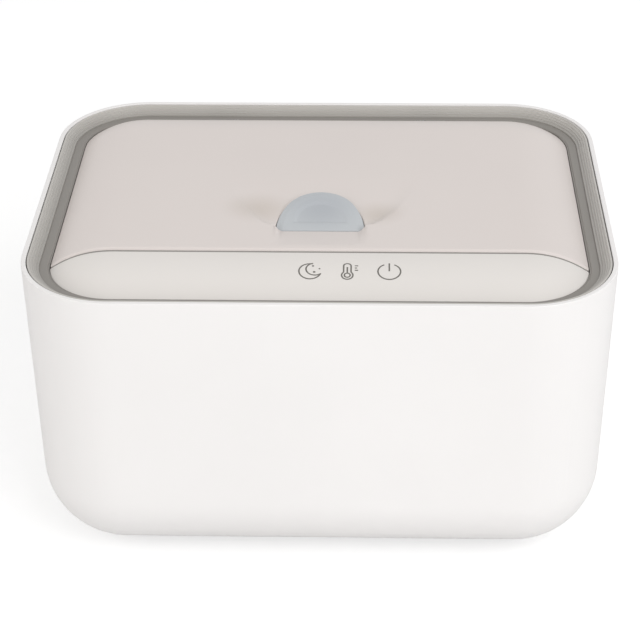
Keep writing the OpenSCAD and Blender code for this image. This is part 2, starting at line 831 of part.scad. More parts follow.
// Places across a row: the last one lies past the crease, the one before on it
function spread(k) =
    let (n = abs(k), side = sign(k))
        side*(n == across_n ? past : 1 - pow(1 - n/(across_n - 1), 1.3));

// The solid that cuts the scoop, from its floor up past the crown
module scoop() {
    rows = concat([for (i = [0 : ramp_rows - 1]) ramp_row(i)],
                  [for (i = [0 : fan_rows]) fan_row(i)]);
    n = len(rows);
    m = len(rows[0]);
    roof = z_top + 3;
    floor_points = [for (row = rows) each row];
    roof_points = [for (p = floor_points) [p[0], p[1], roof]];
    all = n*m;
    polyhedron(
        concat(floor_points, roof_points),
        concat(
            [for (i = [0 : n - 2], k = [0 : m - 2]) let (a = i*m + k)
                each [[a, a + 1, a + m + 1], [a, a + m + 1, a + m]]],
            [for (i = [0 : n - 2], k = [0 : m - 2]) let (a = all + i*m + k)
                each [[a, a + m, a + m + 1], [a, a + m + 1, a + 1]]],
            [for (k = [0 : m - 2])
                each [[k, all + k, all + k + 1], [k, all + k + 1, k + 1]]],
            [for (k = [0 : m - 2]) let (a = (n - 1)*m + k)
                each [[a, a + 1, all + a + 1], [a, all + a + 1, all + a]]],
            [for (i = [0 : n - 2]) let (a = i*m)
                each [[a, a + m, all + a + m], [a, all + a + m, all + a]]],
            [for (i = [0 : n - 2]) let (a = i*m + m - 1)
                each [[a, all + a, all + a + m], [a, all + a + m, a + m]]]
        ),
        convexity = 6
    );
}

// Where the lid carries its liner screws
function liner_screw_y(s) = tub_y + s*(tub_d/2 - 10);
liner_screw_x = tub_w/2 - 10;

module at_liner_screws()
    for (sx = [-1, 1], s = [-1, 1])
        translate([sx*liner_screw_x, liner_screw_y(s), z_liner]) children();

module along_axis(x0, x1, r)
    translate([x0, hinge_y, hinge_z]) rotate([0, 90, 0]) cylinder(r = r, h = x1 - x0);

module lid_hinge_block(x0, x1) {
    along_axis(x0, x1, eye_r);
    intersection() {
        span([x0, hinge_y - 3, hinge_z - eye_r], [x1, body_d/2, z_top]);
        pillow(0, z_skirt);
    }
}

module lid_notch() {
    along_axis(notch_in, notch_out, eye_r + 0.4);
    span([notch_in, hinge_y - post_half - 0.5, z_skirt - 1],
         [notch_out, body_d/2, hinge_z + post_half + 0.7]);
}

module lid_cover() color(warm_grey)
    difference() {
        intersection() {
            union() {
                difference() {
                    pillow(0, z_skirt);
                    difference() {
                        pillow(lid_wall, z_skirt - 1);
                        translate([0, 0, -lid_wall]) scoop();
                        before(lid_front + front_wall);
                    }
                }
                intersection() {
                    at_liner_screws() cylinder(r = 3, h = 20);
                    pillow(0.5, z_skirt);
                }
                for (m = [0, 1]) mirror([m, 0, 0]) {
                    lid_hinge_block(pin_in, notch_in);
                    lid_hinge_block(notch_out, pin_out);
                }
            }
            behind(lid_front);
        }
        scoop();
        translate([0, button_y, z_skirt - 1])
            half_moon(button_w, button_len, 20, button_gap, button_gap);
        at_liner_screws()
            translate([0, 0, -eps]) cylinder(r = screw_r + snug_fit, h = 8);
        span([-slider_half - 0.4, lid_front - eps, z_slider - 0.3],
             [slider_half + 0.4, lid_front + front_wall + eps,
              z_slider + slider_t + 0.3]);
        for (m = [0, 1]) mirror([m, 0, 0]) {
            lid_notch();
            along_axis(pin_in - eps, pin_out + eps, pin_d/2 + snug_fit);
        }
    }

module lid_liner() color(white) {
    z0 = z_liner - liner_t;
    inset = lid_off + lid_wall + slide_fit;
    difference() {
        intersection() {
            slab(body_w - 2*inset, body_d - 2*inset, corner_r - inset, z0, z_liner);
            span([-body_w/2, lid_front + front_wall + slide_fit, z0 - eps],
                 [body_w/2, hinge_y - 10.5, z_liner + eps]);
        }
        at_liner_screws()
            translate([0, 0, -liner_t - eps])
                cylinder(r = screw_r + 0.15, h = liner_t + 2*eps);
    }
    // Rails that guide the latch slider
    for (m = [0, 1]) mirror([m, 0, 0])
        span([slider_half + slide_fit, lid_front + 6, z_liner - 0.2],
             [slider_half + slide_fit + 1.2, stem_front, z_slider + slider_t]);
    // Stop of the latch spring
    span([-3.5, latch_spring_y1 + end_gap, z_liner - 0.2],
         [3.5, latch_spring_y1 + end_gap + 2, z_liner + 6]);
    // Pins that centre the button springs
    for (sx = [-1, 1])
        translate([sx*button_spring_x, button_spring_y, z_liner - 0.2])
            cylinder(r = 1.3, h = 2.7);
}

module lid_seal() color([0.75, 0.75, 0.77])
    difference() {
        tub_place(seal_w, z_liner - liner_t - seal_t, z_liner - liner_t);
        tub_place(0.2, z_liner - liner_t - seal_t - eps, z_liner - liner_t + eps);
    }

module liner_screws() color(steel)
    at_liner_screws() translate([0, 0, -liner_t]) screw(liner_t + 7);

module hinge_pins() color(steel)
    for (m = [0, 1]) mirror([m, 0, 0])
        along_axis(pin_in + 0.4, pin_out - 0.4, pin_d/2);

// The button's face frame: origin at its front edge, Y up the sloped face
module on_face()
    translate([0, button_y, z_face]) rotate([button_tilt, 0, 0]) children();

// The crowned button, smaller by inset all round and lower by drop
module button_form(inset, drop, z0)
    hull() {
        intersection() {
            translate([0, button_y + inset, z0])
                half_moon(button_w - 2*inset, button_len - 2*inset, 30);
            on_face() translate([-50, -50, -60]) cube([100, 100, 60 - bevel_h - drop]);
        }
        on_face()
            translate([0, inset, -drop - skin])
                half_moon(button_w - 2*inset, face_len - 2*inset, skin, -bevel_w);
    }

module open_button() color(blue_grey) {
    difference() {
        union() {
            button_form(0, 0, z_button_base);
            translate([0, button_y, z_button_base])
                half_moon(button_w, button_len, button_flange_t,
                          button_flange, button_flange);
        }
        button_form(button_wall, button_wall, z_button_base - eps);
        // The finger recess in the sloped face
        on_face() hull() {
            translate([0, recess_y, -recess_t]) half_moon(recess_w, recess_len, skin);
            translate([0, recess_y, eps])
                half_moon(recess_w, recess_len, skin, recess_t + eps, recess_t/2);
        }
    }
    // The stem whose sloped foot drives the latch back
    intersection() {
        translate([-stem_half, 0, 0]) rotate([90, 0, 90])
            linear_extrude(2*stem_half)
                polygon([
                    [stem_front, z_stem], [stem_y, z_stem],
                    [stem_y + 12, z_stem + 12], [stem_front, z_stem + 12]
                ]);
        on_face() translate([-50, -50, -60]) cube([100, 100, 60 - button_wall + 0.2]);
    }
}

module button_springs() color(steel)
    for (sx = [-1, 1])
        translate([sx*button_spring_x, button_spring_y, z_spring_foot])
            tube(coil(button_spring_r, button_turns, button_pitch), spring_wire/2);

module latch_slider() color(dark) {
    z1 = z_slider + slider_t;
    foot = stem_y + (z1 - z_stem) + ramp_gap;   // y of the ramp at the plate
    tip = lid_front - nose;
    difference() {
        union() {
            span([-slider_half, tip, z_slider], [slider_half, slider_back, z1]);
            translate([-stem_half, 0, 0]) rotate([90, 0, 90])
                linear_extrude(2*stem_half)
                    polygon([
                        [foot - 0.2, z1 - 0.2], [ramp_back, z1 - 0.2],
                        [ramp_back, z1 + 3.4], [foot + 3.4, z1 + 3.4]
                    ]);
        }
        // Window for the stem, and the nose's sloped underside
        span([-stem_half - 0.4, stem_front - press - 0.5, z_slider - eps],
             [stem_half + 0.4, foot, z1 + eps]);
        translate([-slider_half - eps, 0, 0]) rotate([90, 0, 90])
            linear_extrude(2*slider_half + 2*eps)
                polygon([
                    [tip - eps, z_slider - eps], [tip + 1.6, z_slider - eps],
                    [tip - eps, z_slider + 1.6]
                ]);
    }
}

module latch_spring() color(steel)
    translate([0, latch_spring_y0 + spring_wire/2, z_latch_spring]) rotate([-90, 0, 0])
        tube(coil(latch_spring_r, latch_turns, latch_pitch), spring_wire/2);

// The coils' least gaps, which stay over 0.4
echo(hinge_spring_gap = torsion_gap(),
     button_spring_gap = coil_gap(coil(button_spring_r, button_turns, button_pitch),
                                  spring_wire),
     latch_spring_gap = coil_gap(coil(latch_spring_r, latch_turns, latch_pitch),
                                 spring_wire));

outer_casing();
base_plate();
rubber_feet();
base_screws();
trim_ring();
upper_frame();
frame_screws();
inner_tub();
heat_spreader();
heating_film();
insulation_pad();
temperature_sensor();
thermal_fuse();
main_board();
board_components();
board_screws();
control_panel();
panel_screws();
touch_board();
touch_pads();
night_light_leds();
power_inlet();
inlet_contact();
inlet_nut();
hinge_springs();
lid_cover();
lid_liner();
lid_seal();
liner_screws();
hinge_pins();
open_button();
button_springs();
latch_slider();
latch_spring();
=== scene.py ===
# %% [markdown]
# # A baby wipe warmer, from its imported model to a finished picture
#
# The object is a white moulded casing with a stepped grey ring under its rim.
# Inside the ring lie a warm grey lid, a narrow touch panel in front of it, and
# a half-moon button that opens the lid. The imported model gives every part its
# size and its place, so this notebook only shapes the visible skins more
# finely, adds the printed touch signs and gives each surface its finish.

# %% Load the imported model
import json
from math import asin, atan2, cos, degrees, hypot, pi, radians, sin, sqrt

import bmesh
import bpy
from mathutils import Matrix, Vector


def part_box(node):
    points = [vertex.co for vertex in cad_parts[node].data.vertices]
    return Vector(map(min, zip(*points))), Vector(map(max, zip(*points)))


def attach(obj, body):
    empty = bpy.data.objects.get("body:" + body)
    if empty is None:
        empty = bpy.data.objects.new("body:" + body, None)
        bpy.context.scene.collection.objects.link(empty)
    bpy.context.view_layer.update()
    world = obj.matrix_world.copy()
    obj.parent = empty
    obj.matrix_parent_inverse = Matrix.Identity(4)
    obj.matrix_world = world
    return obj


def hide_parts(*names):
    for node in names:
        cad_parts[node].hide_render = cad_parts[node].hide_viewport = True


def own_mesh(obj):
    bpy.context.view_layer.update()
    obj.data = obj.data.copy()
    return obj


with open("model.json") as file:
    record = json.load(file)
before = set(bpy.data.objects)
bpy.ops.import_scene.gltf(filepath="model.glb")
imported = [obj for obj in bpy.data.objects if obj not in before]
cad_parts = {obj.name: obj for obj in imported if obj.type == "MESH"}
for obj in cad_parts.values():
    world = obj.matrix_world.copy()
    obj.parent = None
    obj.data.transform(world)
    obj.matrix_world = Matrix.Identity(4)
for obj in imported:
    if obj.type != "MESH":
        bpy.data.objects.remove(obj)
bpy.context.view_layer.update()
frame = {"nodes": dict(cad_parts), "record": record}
MM = 0.001

# %% [markdown]
# ## Camera
# The photograph looks down on the front at 31.6 degrees, from so far away
# that the sides hardly converge. The place and the focal length were fitted to
# the casing's outline, in pixels of a 640 by 640 picture.

# %% Place the camera
CAMERA_PLACE = Vector((19.452, -656.965, 468.647)) * MM
PITCH, YAW, ROLL = radians(31.5836), radians(-1.8067), radians(-0.521)
FOCAL_PIXELS = 1897.69
PICTURE_PIXELS = 640
SENSOR_WIDTH = 36.0

ahead = Vector((sin(YAW) * cos(PITCH), cos(YAW) * cos(PITCH), -sin(PITCH)))
level = Vector((cos(YAW), -sin(YAW), 0))
above = level.cross(ahead)
right_hand = level * cos(ROLL) + above * sin(ROLL)
upward = -level * sin(ROLL) + above * cos(ROLL)


def add_object(name, data):
    """Put an object with this data in the scene."""
    fresh = bpy.data.objects.new(name, data)
    bpy.context.scene.collection.objects.link(fresh)
    return fresh


lens = bpy.data.cameras.new("product camera")
lens.sensor_fit = "HORIZONTAL"
lens.sensor_width = SENSOR_WIDTH
lens.lens = FOCAL_PIXELS * SENSOR_WIDTH / PICTURE_PIXELS
camera = add_object("product camera", lens)
camera.matrix_world = Matrix((
    (right_hand.x, upward.x, -ahead.x, CAMERA_PLACE.x),
    (right_hand.y, upward.y, -ahead.y, CAMERA_PLACE.y),
    (right_hand.z, upward.z, -ahead.z, CAMERA_PLACE.z),
    (0, 0, 0, 1),
))
bpy.context.scene.camera = camera
print("lens in mm:", round(lens.lens, 2))

# %% [markdown]
# ## Light
# A product photograph like this is lit by large soft boxes. One big lamp from
# the front right gives the front its brightness, and a weaker, warmer one opens
# the left side. Large lamps close by give soft shadows, and the total is kept
# so low that white plastic doesn't clip.

# %% Lamps
bpy.context.scene.view_settings.view_transform = "Standard"
LAMP_AIM = Vector((0, 0, 0.06))     # the middle of the object, in metres


def soft_box(name, place, size, watts, colour):
    """Hang a square area lamp at a place in metres, turned towards the object."""
    lamp = bpy.data.lights.new(name, "AREA")
    lamp.shape = "SQUARE"
    lamp.size = size
    lamp.energy = watts
    lamp.color = colour
    turn = (LAMP_AIM - Vector(place)).to_track_quat("-Z", "Y")
    add_object(name, lamp).matrix_world = Matrix.Translation(place) @ turn.to_matrix().to_4x4()


soft_box("key box", (0.84, -1.0, 1.15), 1.1, 12.8, (1, 1, 1))
soft_box("fill box", (-1.26, -0.73, 0.74), 1.2, 4.4, (1.0, 0.95, 0.90))

# %% [markdown]
# ## Floor
# The white ground must look white and still hold the object's soft shadow.
# The camera sees a dim floor with a little glow, which just reaches white
# where it is fully lit and leaves the shadow faint. All other rays see a pale
# ground, which throws light back at the casing's rounded foot. From below the
# floor is clear, so that the base can be looked at. A small pale sheet under
# the object, which the camera never sees, lights the base.

# %% Floor
FLOOR_HALF = 6.0            # metres from the middle to each side
FLOOR_SEEN = 0.54           # its tone for the camera
FLOOR_BOUNCE = 0.80         # its tone for all other rays
FLOOR_GLOW = 0.56           # its glow for the camera
BASE_LIGHT_X = 0.078        # half sizes of the sheet under the object
BASE_LIGHT_Y = 0.052
BASE_LIGHT_Z = 0.0003       # just above the floor
BASE_GLOW = 0.42


def feed(tree, socket, value):
    """Set a socket to a number, or link it to another socket."""
    if isinstance(value, float):
        socket.default_value = value
    else:
        tree.links.new(value, socket)


def map_range(tree, value, start=0.0, end=1.0, low=0.0, high=1.0, kind="LINEAR"):
    """Carry a value from the span start to end over to the span low to high."""
    node = tree.nodes.new("ShaderNodeMapRange")
    node.interpolation_type = kind
    sockets = ("Value", "From Min", "From Max", "To Min", "To Max")
    for socket, given in zip(sockets, (value, start, end, low, high)):
        feed(tree, node.inputs[socket], given)
    return node.outputs["Result"]


def camera_switch(tree, for_others, for_camera):
    """A value that differs between rays from the camera and all other rays."""
    path = tree.nodes.new("ShaderNodeLightPath")
    return map_range(tree, path.outputs["Is Camera Ray"], low=for_others, high=for_camera)


def floor_material(name, glow_seen, glow_thrown, clear_node, clear_when):
    """Pale ground with its glow for the camera and for other rays, clear where a node says so."""
    material = bpy.data.materials.new(name)
    material.use_nodes = True
    tree = material.node_tree
    shader = tree.nodes["Principled BSDF"]
    shader.inputs["Roughness"].default_value = 1.0
    shader.inputs["Specular IOR Level"].default_value = 0.0
    shader.inputs["Emission Color"].default_value = (1, 1, 1, 1)
    tree.links.new(camera_switch(tree, FLOOR_BOUNCE, FLOOR_SEEN), shader.inputs["Base Color"])
    tree.links.new(camera_switch(tree, glow_thrown, glow_seen), shader.inputs["Emission Strength"])
    mix = tree.nodes.new("ShaderNodeMixShader")
    tree.links.new(tree.nodes.new(clear_node).outputs[clear_when], mix.inputs["Fac"])
    tree.links.new(shader.outputs["BSDF"], mix.inputs[1])
    tree.links.new(tree.nodes.new("ShaderNodeBsdfTransparent").outputs["BSDF"], mix.inputs[2])
    tree.links.new(mix.outputs["Shader"], tree.nodes["Material Output"].inputs["Surface"])
    return material


def mesh_object(name, bm, material):
    """Turn a bmesh into an object with one material, and put it in the scene."""
    mesh = bpy.data.meshes.new(name)
    bm.to_mesh(mesh)
    bm.free()
    mesh.materials.append(material)
    return add_object(name, mesh)


def lay_floor(name, half_x, half_y, height, material):
    """Lay a flat sheet of the stage, with its sizes in metres."""
    bm = bmesh.new()
    bmesh.ops.create_grid(bm, x_segments=1, y_segments=1, size=1)
    bmesh.ops.transform(bm, verts=bm.verts, matrix=Matrix.Diagonal((half_x, half_y, 1, 1)))
    bmesh.ops.translate(bm, verts=bm.verts, vec=(0, 0, height))
    mesh_object(name, bm, material)
    print("laid", name, "with the half sizes", half_x, half_y)


lay_floor("floor", FLOOR_HALF, FLOOR_HALF, 0,
          floor_material("floor white", FLOOR_GLOW, 0.0, "ShaderNodeNewGeometry", "Backfacing"))
lay_floor("base_light", BASE_LIGHT_X, BASE_LIGHT_Y, BASE_LIGHT_Z,
          floor_material("base light", 0.0, BASE_GLOW, "ShaderNodeLightPath", "Is Camera Ray"))

# %% [markdown]
# ## World
# The studio's walls are bright and its ceiling is dimmer, so that the crown of
# the lid doesn't turn as pale as the upright casing. The height of a direction
# sets the brightness. The camera sees plain white instead.

# %% World
SKY_LOW = 0.95          # brightness of the studio's walls
SKY_HIGH = 0.48         # brightness overhead


def math_node(tree, operation, a, b):
    """A Math node on two values, which are numbers or sockets."""
    node = tree.nodes.new("ShaderNodeMath")
    node.operation = operation
    for socket, value in zip(node.inputs, (a, b)):
        feed(tree, socket, value)
    return node.outputs["Value"]


world = bpy.data.worlds.new("studio")
world.use_nodes = True
sky = world.node_tree
background = sky.nodes["Background"]
height = sky.nodes.new("ShaderNodeSeparateXYZ")
sky.links.new(sky.nodes.new("ShaderNodeTexCoord").outputs["Generated"], height.inputs["Vector"])
shade = map_range(sky, height.outputs["Z"], low=SKY_LOW, high=SKY_HIGH)
seen = math_node(sky, "MAXIMUM", shade, camera_switch(sky, 0.0, 1.0))
sky.links.new(seen, background.inputs["Strength"])
background.inputs["Color"].default_value = (1, 1, 1, 1)
bpy.context.scene.world = world
print("world:", SKY_LOW, "at the floor,", SKY_HIGH, "overhead")

# %% [markdown]
# ## The grain of moulded plastic
# A mould is spark eroded, so the plastic that comes out of it has a very fine
# random grain. It scatters the highlights and makes them a little uneven. One
# node group gives that to every plastic: a slow drift of tone from a large noise,
# and a fine height and a fine drift of gloss from a small one.

# %% Node group for moulded surfaces
SLOW_SCALE = 14.0           # of the drift in tone, waves to a metre
FINE_SCALE = 2600.0         # of the grain
NOISE_DETAIL = 2.0
NOISE_SPAN = (0.3, 0.7)     # a noise texture seldom leaves it
TONE_DRIFT = 0.012
GLOSS_DRIFT = 0.07


def noise(tree, place, scale):
    """A noise texture, in waves to a metre."""
    node = tree.nodes.new("ShaderNodeTexNoise")
    node.inputs["Scale"].default_value = scale
    node.inputs["Detail"].default_value = NOISE_DETAIL
    tree.links.new(place, node.inputs["Vector"])
    return node


grain = bpy.data.node_groups.new("moulded grain", "ShaderNodeTree")
for way, names in (("INPUT", ("Colour", "Roughness", "Tone Drift", "Grain Scale")),
                   ("OUTPUT", ("Colour", "Roughness", "Height"))):
    for name in names:
        kind = "NodeSocketColor" if name == "Colour" else "NodeSocketFloat"
        grain.interface.new_socket(name, in_out=way, socket_type=kind)
g_in = grain.nodes.new("NodeGroupInput")
g_out = grain.nodes.new("NodeGroupOutput")
place = grain.nodes.new("ShaderNodeTexCoord").outputs["Object"]
slow = noise(grain, place, SLOW_SCALE)
fine = noise(grain, place, FINE_SCALE)
grain.links.new(g_in.outputs["Grain Scale"], fine.inputs["Scale"])
lighter = math_node(grain, "ADD", 1.0, g_in.outputs["Tone Drift"])
darker = math_node(grain, "SUBTRACT", 1.0, g_in.outputs["Tone Drift"])
toned = grain.nodes.new("ShaderNodeHueSaturation")
grain.links.new(g_in.outputs["Colour"], toned.inputs["Color"])
grain.links.new(map_range(grain, slow.outputs["Fac"], *NOISE_SPAN, darker, lighter), toned.inputs["Value"])
grain.links.new(toned.outputs["Color"], g_out.inputs["Colour"])
uneven = map_range(grain, fine.outputs["Fac"], *NOISE_SPAN, 1 - GLOSS_DRIFT, 1 + GLOSS_DRIFT)
grain.links.new(math_node(grain, "MULTIPLY", g_in.outputs["Roughness"], uneven), g_out.inputs["Roughness"])
grain.links.new(fine.outputs["Fac"], g_out.inputs["Height"])
print("node group:", grain.name)

# %% [markdown]
# ## Finishes
# The colours are written in 8-bit sRGB, as a colour picker shows them, and are
# turned into the linear values that a shader needs. Every material has one
# Principled shader, and the group above feeds its colour, roughness and normal.
# Metals use the same grain, finer and shallower.

# %% Materials by slot
GRAIN_STRENGTH = 0.5
METAL = {"metal": 1.0, "scale": 5200.0, "depth": 0.004}
SHEET_METAL = {"metal": 1.0, "scale": 3800.0, "depth": 0.006}
FOAM = {"drifting": 0.04, "scale": 900.0, "depth": 0.3}


def linear(red, green, blue):
    """A shader's colour from 8-bit sRGB."""
    def one(value):
        part = value / 255
        return part / 12.92 if part <= 0.04045 else ((part + 0.055) / 1.055) ** 2.4
    return (one(red), one(green), one(blue), 1.0)


def moulded(name, colour, roughness, drifting=TONE_DRIFT, scale=FINE_SCALE, depth=0.02, metal=0.0,
            coat=0.0):
    """A material with the grain in it, whose depth is in mm."""
    material = bpy.data.materials.new(name)
    material.use_nodes = True
    tree = material.node_tree
    shader = tree.nodes["Principled BSDF"]
    shader.inputs["Metallic"].default_value = metal
    shader.inputs["Coat Weight"].default_value = coat
    group = tree.nodes.new("ShaderNodeGroup")
    group.node_tree = grain
    group.inputs["Colour"].default_value = linear(*colour)
    group.inputs["Roughness"].default_value = roughness
    group.inputs["Tone Drift"].default_value = drifting
    group.inputs["Grain Scale"].default_value = scale
    bump = tree.nodes.new("ShaderNodeBump")
    bump.inputs["Strength"].default_value = GRAIN_STRENGTH
    bump.inputs["Distance"].default_value = depth * MM
    tree.links.new(group.outputs["Height"], bump.inputs["Height"])
    tree.links.new(group.outputs["Colour"], shader.inputs["Base Color"])
    tree.links.new(group.outputs["Roughness"], shader.inputs["Roughness"])
    tree.links.new(bump.outputs["Normal"], shader.inputs["Normal"])
    return material


finish = {
    "casing_white": moulded("casing white", (238, 236, 235), 0.34),
    "ring_grey": moulded("ring grey", (194, 191, 186), 0.38),
    "ledge_grey": moulded("ledge grey", (143, 139, 134), 0.45),
    "lid_warm_grey": moulded("lid warm grey", (221, 213, 209), 0.42),
    "panel_warm_grey": moulded("panel warm grey", (223, 219, 215), 0.42),
    "button_blue_grey": moulded("button blue grey", (192, 196, 199), 0.36),
    "tub_white": moulded("tub white", (238, 238, 236), 0.3),
    "seal_silicone": moulded("seal silicone", (196, 197, 200), 0.55, depth=0.01),
    "foot_rubber": moulded("foot rubber", (46, 46, 48), 0.8, depth=0.05, scale=1500.0),
    "dark_plastic": moulded("dark plastic", (44, 44, 46), 0.4),
    "latch_plastic": moulded("latch plastic", (206, 206, 204), 0.45),
    "board_green": moulded("board green", (28, 92, 60), 0.3, drifting=0.08, scale=700.0),
    "component_black": moulded("component black", (34, 34, 36), 0.5, scale=1800.0),
    "pad_foam": moulded("pad foam", (222, 220, 210), 0.95, **FOAM),
    "led_lens": moulded("led lens", (250, 244, 226), 0.15, coat=0.6),
    "steel": moulded("steel", (196, 196, 198), 0.28, **METAL),
    "spring_steel": moulded("spring steel", (182, 183, 186), 0.24, **METAL),
    "spreader_aluminium": moulded("spreader aluminium", (214, 215, 218), 0.35, **SHEET_METAL),
    "film_amber": moulded("film amber", (196, 128, 52), 0.25, drifting=0.03, coat=0.4),
    "insulation_foam": moulded("insulation foam", (226, 224, 214), 0.95, **FOAM),
    "sensor_black": moulded("sensor black", (38, 38, 40), 0.45),
    "fuse_steel": moulded("fuse steel", (200, 200, 204), 0.22, **METAL),
    "contact_brass": moulded("contact brass", (206, 178, 112), 0.25, **METAL),
}
slots_of_row = {entry["slot"]: entry.get("nodes", []) for entry in frame["record"]["materials"]}
for slot, members in slots_of_row.items():
    for member in members:
        surface = frame["nodes"][member].data
        surface.materials.clear()
        surface.materials.append(finish[slot])
print("finishes:", len(finish), "slots:", len(slots_of_row))

# %% [markdown]
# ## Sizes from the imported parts
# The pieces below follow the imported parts, so their main sizes are read from
# the parts' boxes. Everything from here on is in millimetres, and heights are
# above the surface that the feet stand on.

# %% Driving sizes
casing_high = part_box("outer_casing")[1] / MM
ring_low, ring_high = (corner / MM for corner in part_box("trim_ring"))
lid_low, lid_high = (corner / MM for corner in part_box("lid_cover"))
panel_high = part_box("control_panel")[1] / MM
pin_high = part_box("hinge_pins")[1] / MM

CORNER_R = 35.0
CORE_X = casing_high.x - CORNER_R       # the casing's corner axes, from its middle
CORE_Y = casing_high.y - CORNER_R
Z_RIM = casing_high.z
Z_SEAT = ring_low.z
RING_OUT = ring_high.x - CORE_X         # the ring's outline, from the corner axes
EDGE_OUT = lid_high.x - CORE_X          # the lid's outline, from the corner axes
Z_TOP = lid_high.z
Z_SKIRT = lid_low.z
LID_FRONT = lid_low.y
PANEL_BACK = panel_high.y
PIN_R = 1.25
HINGE_Y = pin_high.y - PIN_R
HINGE_Z = pin_high.z - PIN_R
LEDGE_OUT = 25.1                        # the ledge's inner edge, from the corner axes
LEDGE_RISE = 1.1                        # the ledge's top above the ring's seat
Z_LEDGE = Z_SEAT + LEDGE_RISE
print("heights of the ledge, rim and crown:", [round(z, 2) for z in (Z_LEDGE, Z_RIM, Z_TOP)])
print("seam from", round(PANEL_BACK, 2), "to", round(LID_FRONT, 2))

# %% [markdown]
# ## Painted shade on the ring
# Little light reaches the lowest terraces of the real ring, and that shade is
# painted into the ring's colour. A colour ramp over the height runs from the
# finish's own colour at the rim to a painted shade at the ledge.

# %% Painted shade of the ring
def run_colour(material, other, share):
    """Let a material's own colour run to another one, as a value goes from 0 to 1."""
    tree = material.node_tree
    group = next(node for node in tree.nodes if node.type == "GROUP")
    ramp = tree.nodes.new("ShaderNodeValToRGB")
    ramp.color_ramp.elements[0].color = group.inputs["Colour"].default_value
    ramp.color_ramp.elements[1].color = linear(*other)
    tree.links.new(share, ramp.inputs["Fac"])
    tree.links.new(ramp.outputs["Color"], group.inputs["Colour"])


def paint_shade_by_height(material, other, start, end):
    """Paint shade: let a material's own colour at the height start run to a darker one at end, in mm."""
    tree = material.node_tree
    parts = tree.nodes.new("ShaderNodeSeparateXYZ")
    tree.links.new(tree.nodes.new("ShaderNodeTexCoord").outputs["Object"], parts.inputs["Vector"])
    run_colour(material, other, map_range(tree, parts.outputs["Z"], start * MM, end * MM))


# painted shade: the ring's colour darkens from the rim down to the ledge
paint_shade_by_height(finish["ring_grey"], (163, 160, 155), Z_RIM, Z_LEDGE)
print("the ring fades over", round(Z_RIM - Z_LEDGE, 2), "mm")

# %% [markdown]
# ## Painted shade round the button
# The slopes of the scoop beside the button get painted shade, a little deeper
# and more yellow, and the button's middle gets painted shade, so that it is
# deeper than round its rim and the rim looks lit. A round gradient, moved and
# stretched by a Mapping node, marks each spot, and the same colour ramp runs
# from the finish's own colour to the painted shade.

# %% Painted shade on the slopes of the scoop and on the button's middle
# each spot: middle x and y, half width and half depth, in mm
SHADED_SLOPES = ((-24.0, -17.0, 16.5, 14.5), (22.0, -20.5, 12.5, 12.0))
SHADED_BUTTON_MIDDLE = ((0.0, -18.0, 21.0, 17.0),)
SPOT_HALF_HEIGHT = 10000.0      # so tall that a spot doesn't depend on the height


def paint_shade_spots(material, painted_shade, spots):
    """Let a material's own colour run to a painted shade in soft round spots."""
    tree = material.node_tree
    share = 0.0
    for x, y, half_x, half_y in spots:
        place = tree.nodes.new("ShaderNodeMapping")
        place.vector_type = "TEXTURE"
        place.inputs["Location"].default_value = (x * MM, y * MM, 0.0)
        place.inputs["Scale"].default_value = (half_x * MM, half_y * MM, SPOT_HALF_HEIGHT * MM)
        spot = tree.nodes.new("ShaderNodeTexGradient")
        spot.gradient_type = "SPHERICAL"
        tree.links.new(tree.nodes.new("ShaderNodeTexCoord").outputs["Object"], place.inputs["Vector"])
        tree.links.new(place.outputs["Vector"], spot.inputs["Vector"])
        soft = map_range(tree, spot.outputs["Fac"], kind="SMOOTHSTEP")
        share = math_node(tree, "ADD", soft, share)
    run_colour(material, painted_shade, share)


# painted shade on the scoop's slopes beside the button, and on the button's middle
paint_shade_spots(finish["lid_warm_grey"], (207, 198, 191), SHADED_SLOPES)
paint_shade_spots(finish["button_blue_grey"], (176, 180, 185), SHADED_BUTTON_MIDDLE)
print("rubbed spots:", len(SHADED_SLOPES + SHADED_BUTTON_MIDDLE))

# %% [markdown]
# ## Finishing a piece
# Every new piece ends in the same way. Its faces are turned outwards, modifiers
# may finish its shape, and it is shaded smooth but for its hard angles. Then
# it takes its slot's finish, is hung on an empty for the body that it rides on,
# and the imported parts that it stands for are hidden. Sizes are in mm.

# %% Finishing helpers
HARD_ANGLE = radians(32)        # a steeper edge gets a bevel


def weld(bm, distance=0.001):
    """Join the points that lie closer together than a distance in mm."""
    bmesh.ops.remove_doubles(bm, verts=bm.verts, dist=distance * MM)


def add_modifiers(piece, *steps):
    """Put modifiers on a piece and make their result its mesh."""
    for kind, values in steps:
        modifier = piece.modifiers.new(kind.lower(), kind)
        for key, value in values.items():
            setattr(modifier, key, value)
    result = piece.evaluated_get(bpy.context.evaluated_depsgraph_get())
    mesh = bpy.data.meshes.new_from_object(result)
    piece.modifiers.clear()
    piece.data = mesh


def round_edges(width, segments):
    """A bevel of the hard edges, with a width in mm."""
    return ("BEVEL", {"limit_method": "ANGLE", "angle_limit": HARD_ANGLE, "segments": segments,
                      "width": width * MM, "use_clamp_overlap": False})


def thick(width):
    """A wall that grows inwards, with a width in mm."""
    return ("SOLIDIFY", {"thickness": width * MM, "offset": -1.0, "use_even_offset": False})


def make_piece(name, bm, slot, body, replaces=(), steps=(), sharp=35):
    """Turn a bmesh into a finished piece that rides on a body."""
    bmesh.ops.recalc_face_normals(bm, faces=bm.faces)
    piece = mesh_object(name, bm, finish[slot])
    if steps:
        bpy.context.view_layer.update()
        add_modifiers(piece, *steps)
    piece.data.name = name
    piece.data.shade_smooth()
    piece.data.set_sharp_from_angle(angle=radians(sharp))
    weighted = piece.modifiers.new("even shading", "WEIGHTED_NORMAL")
    weighted.keep_sharp = True
    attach(piece, body)
    if replaces:
        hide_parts(*replaces)
    print(name, "faces:", len(piece.data.polygons))
    return piece


print("edges harder than", round(degrees(HARD_ANGLE)), "degrees get a bevel")

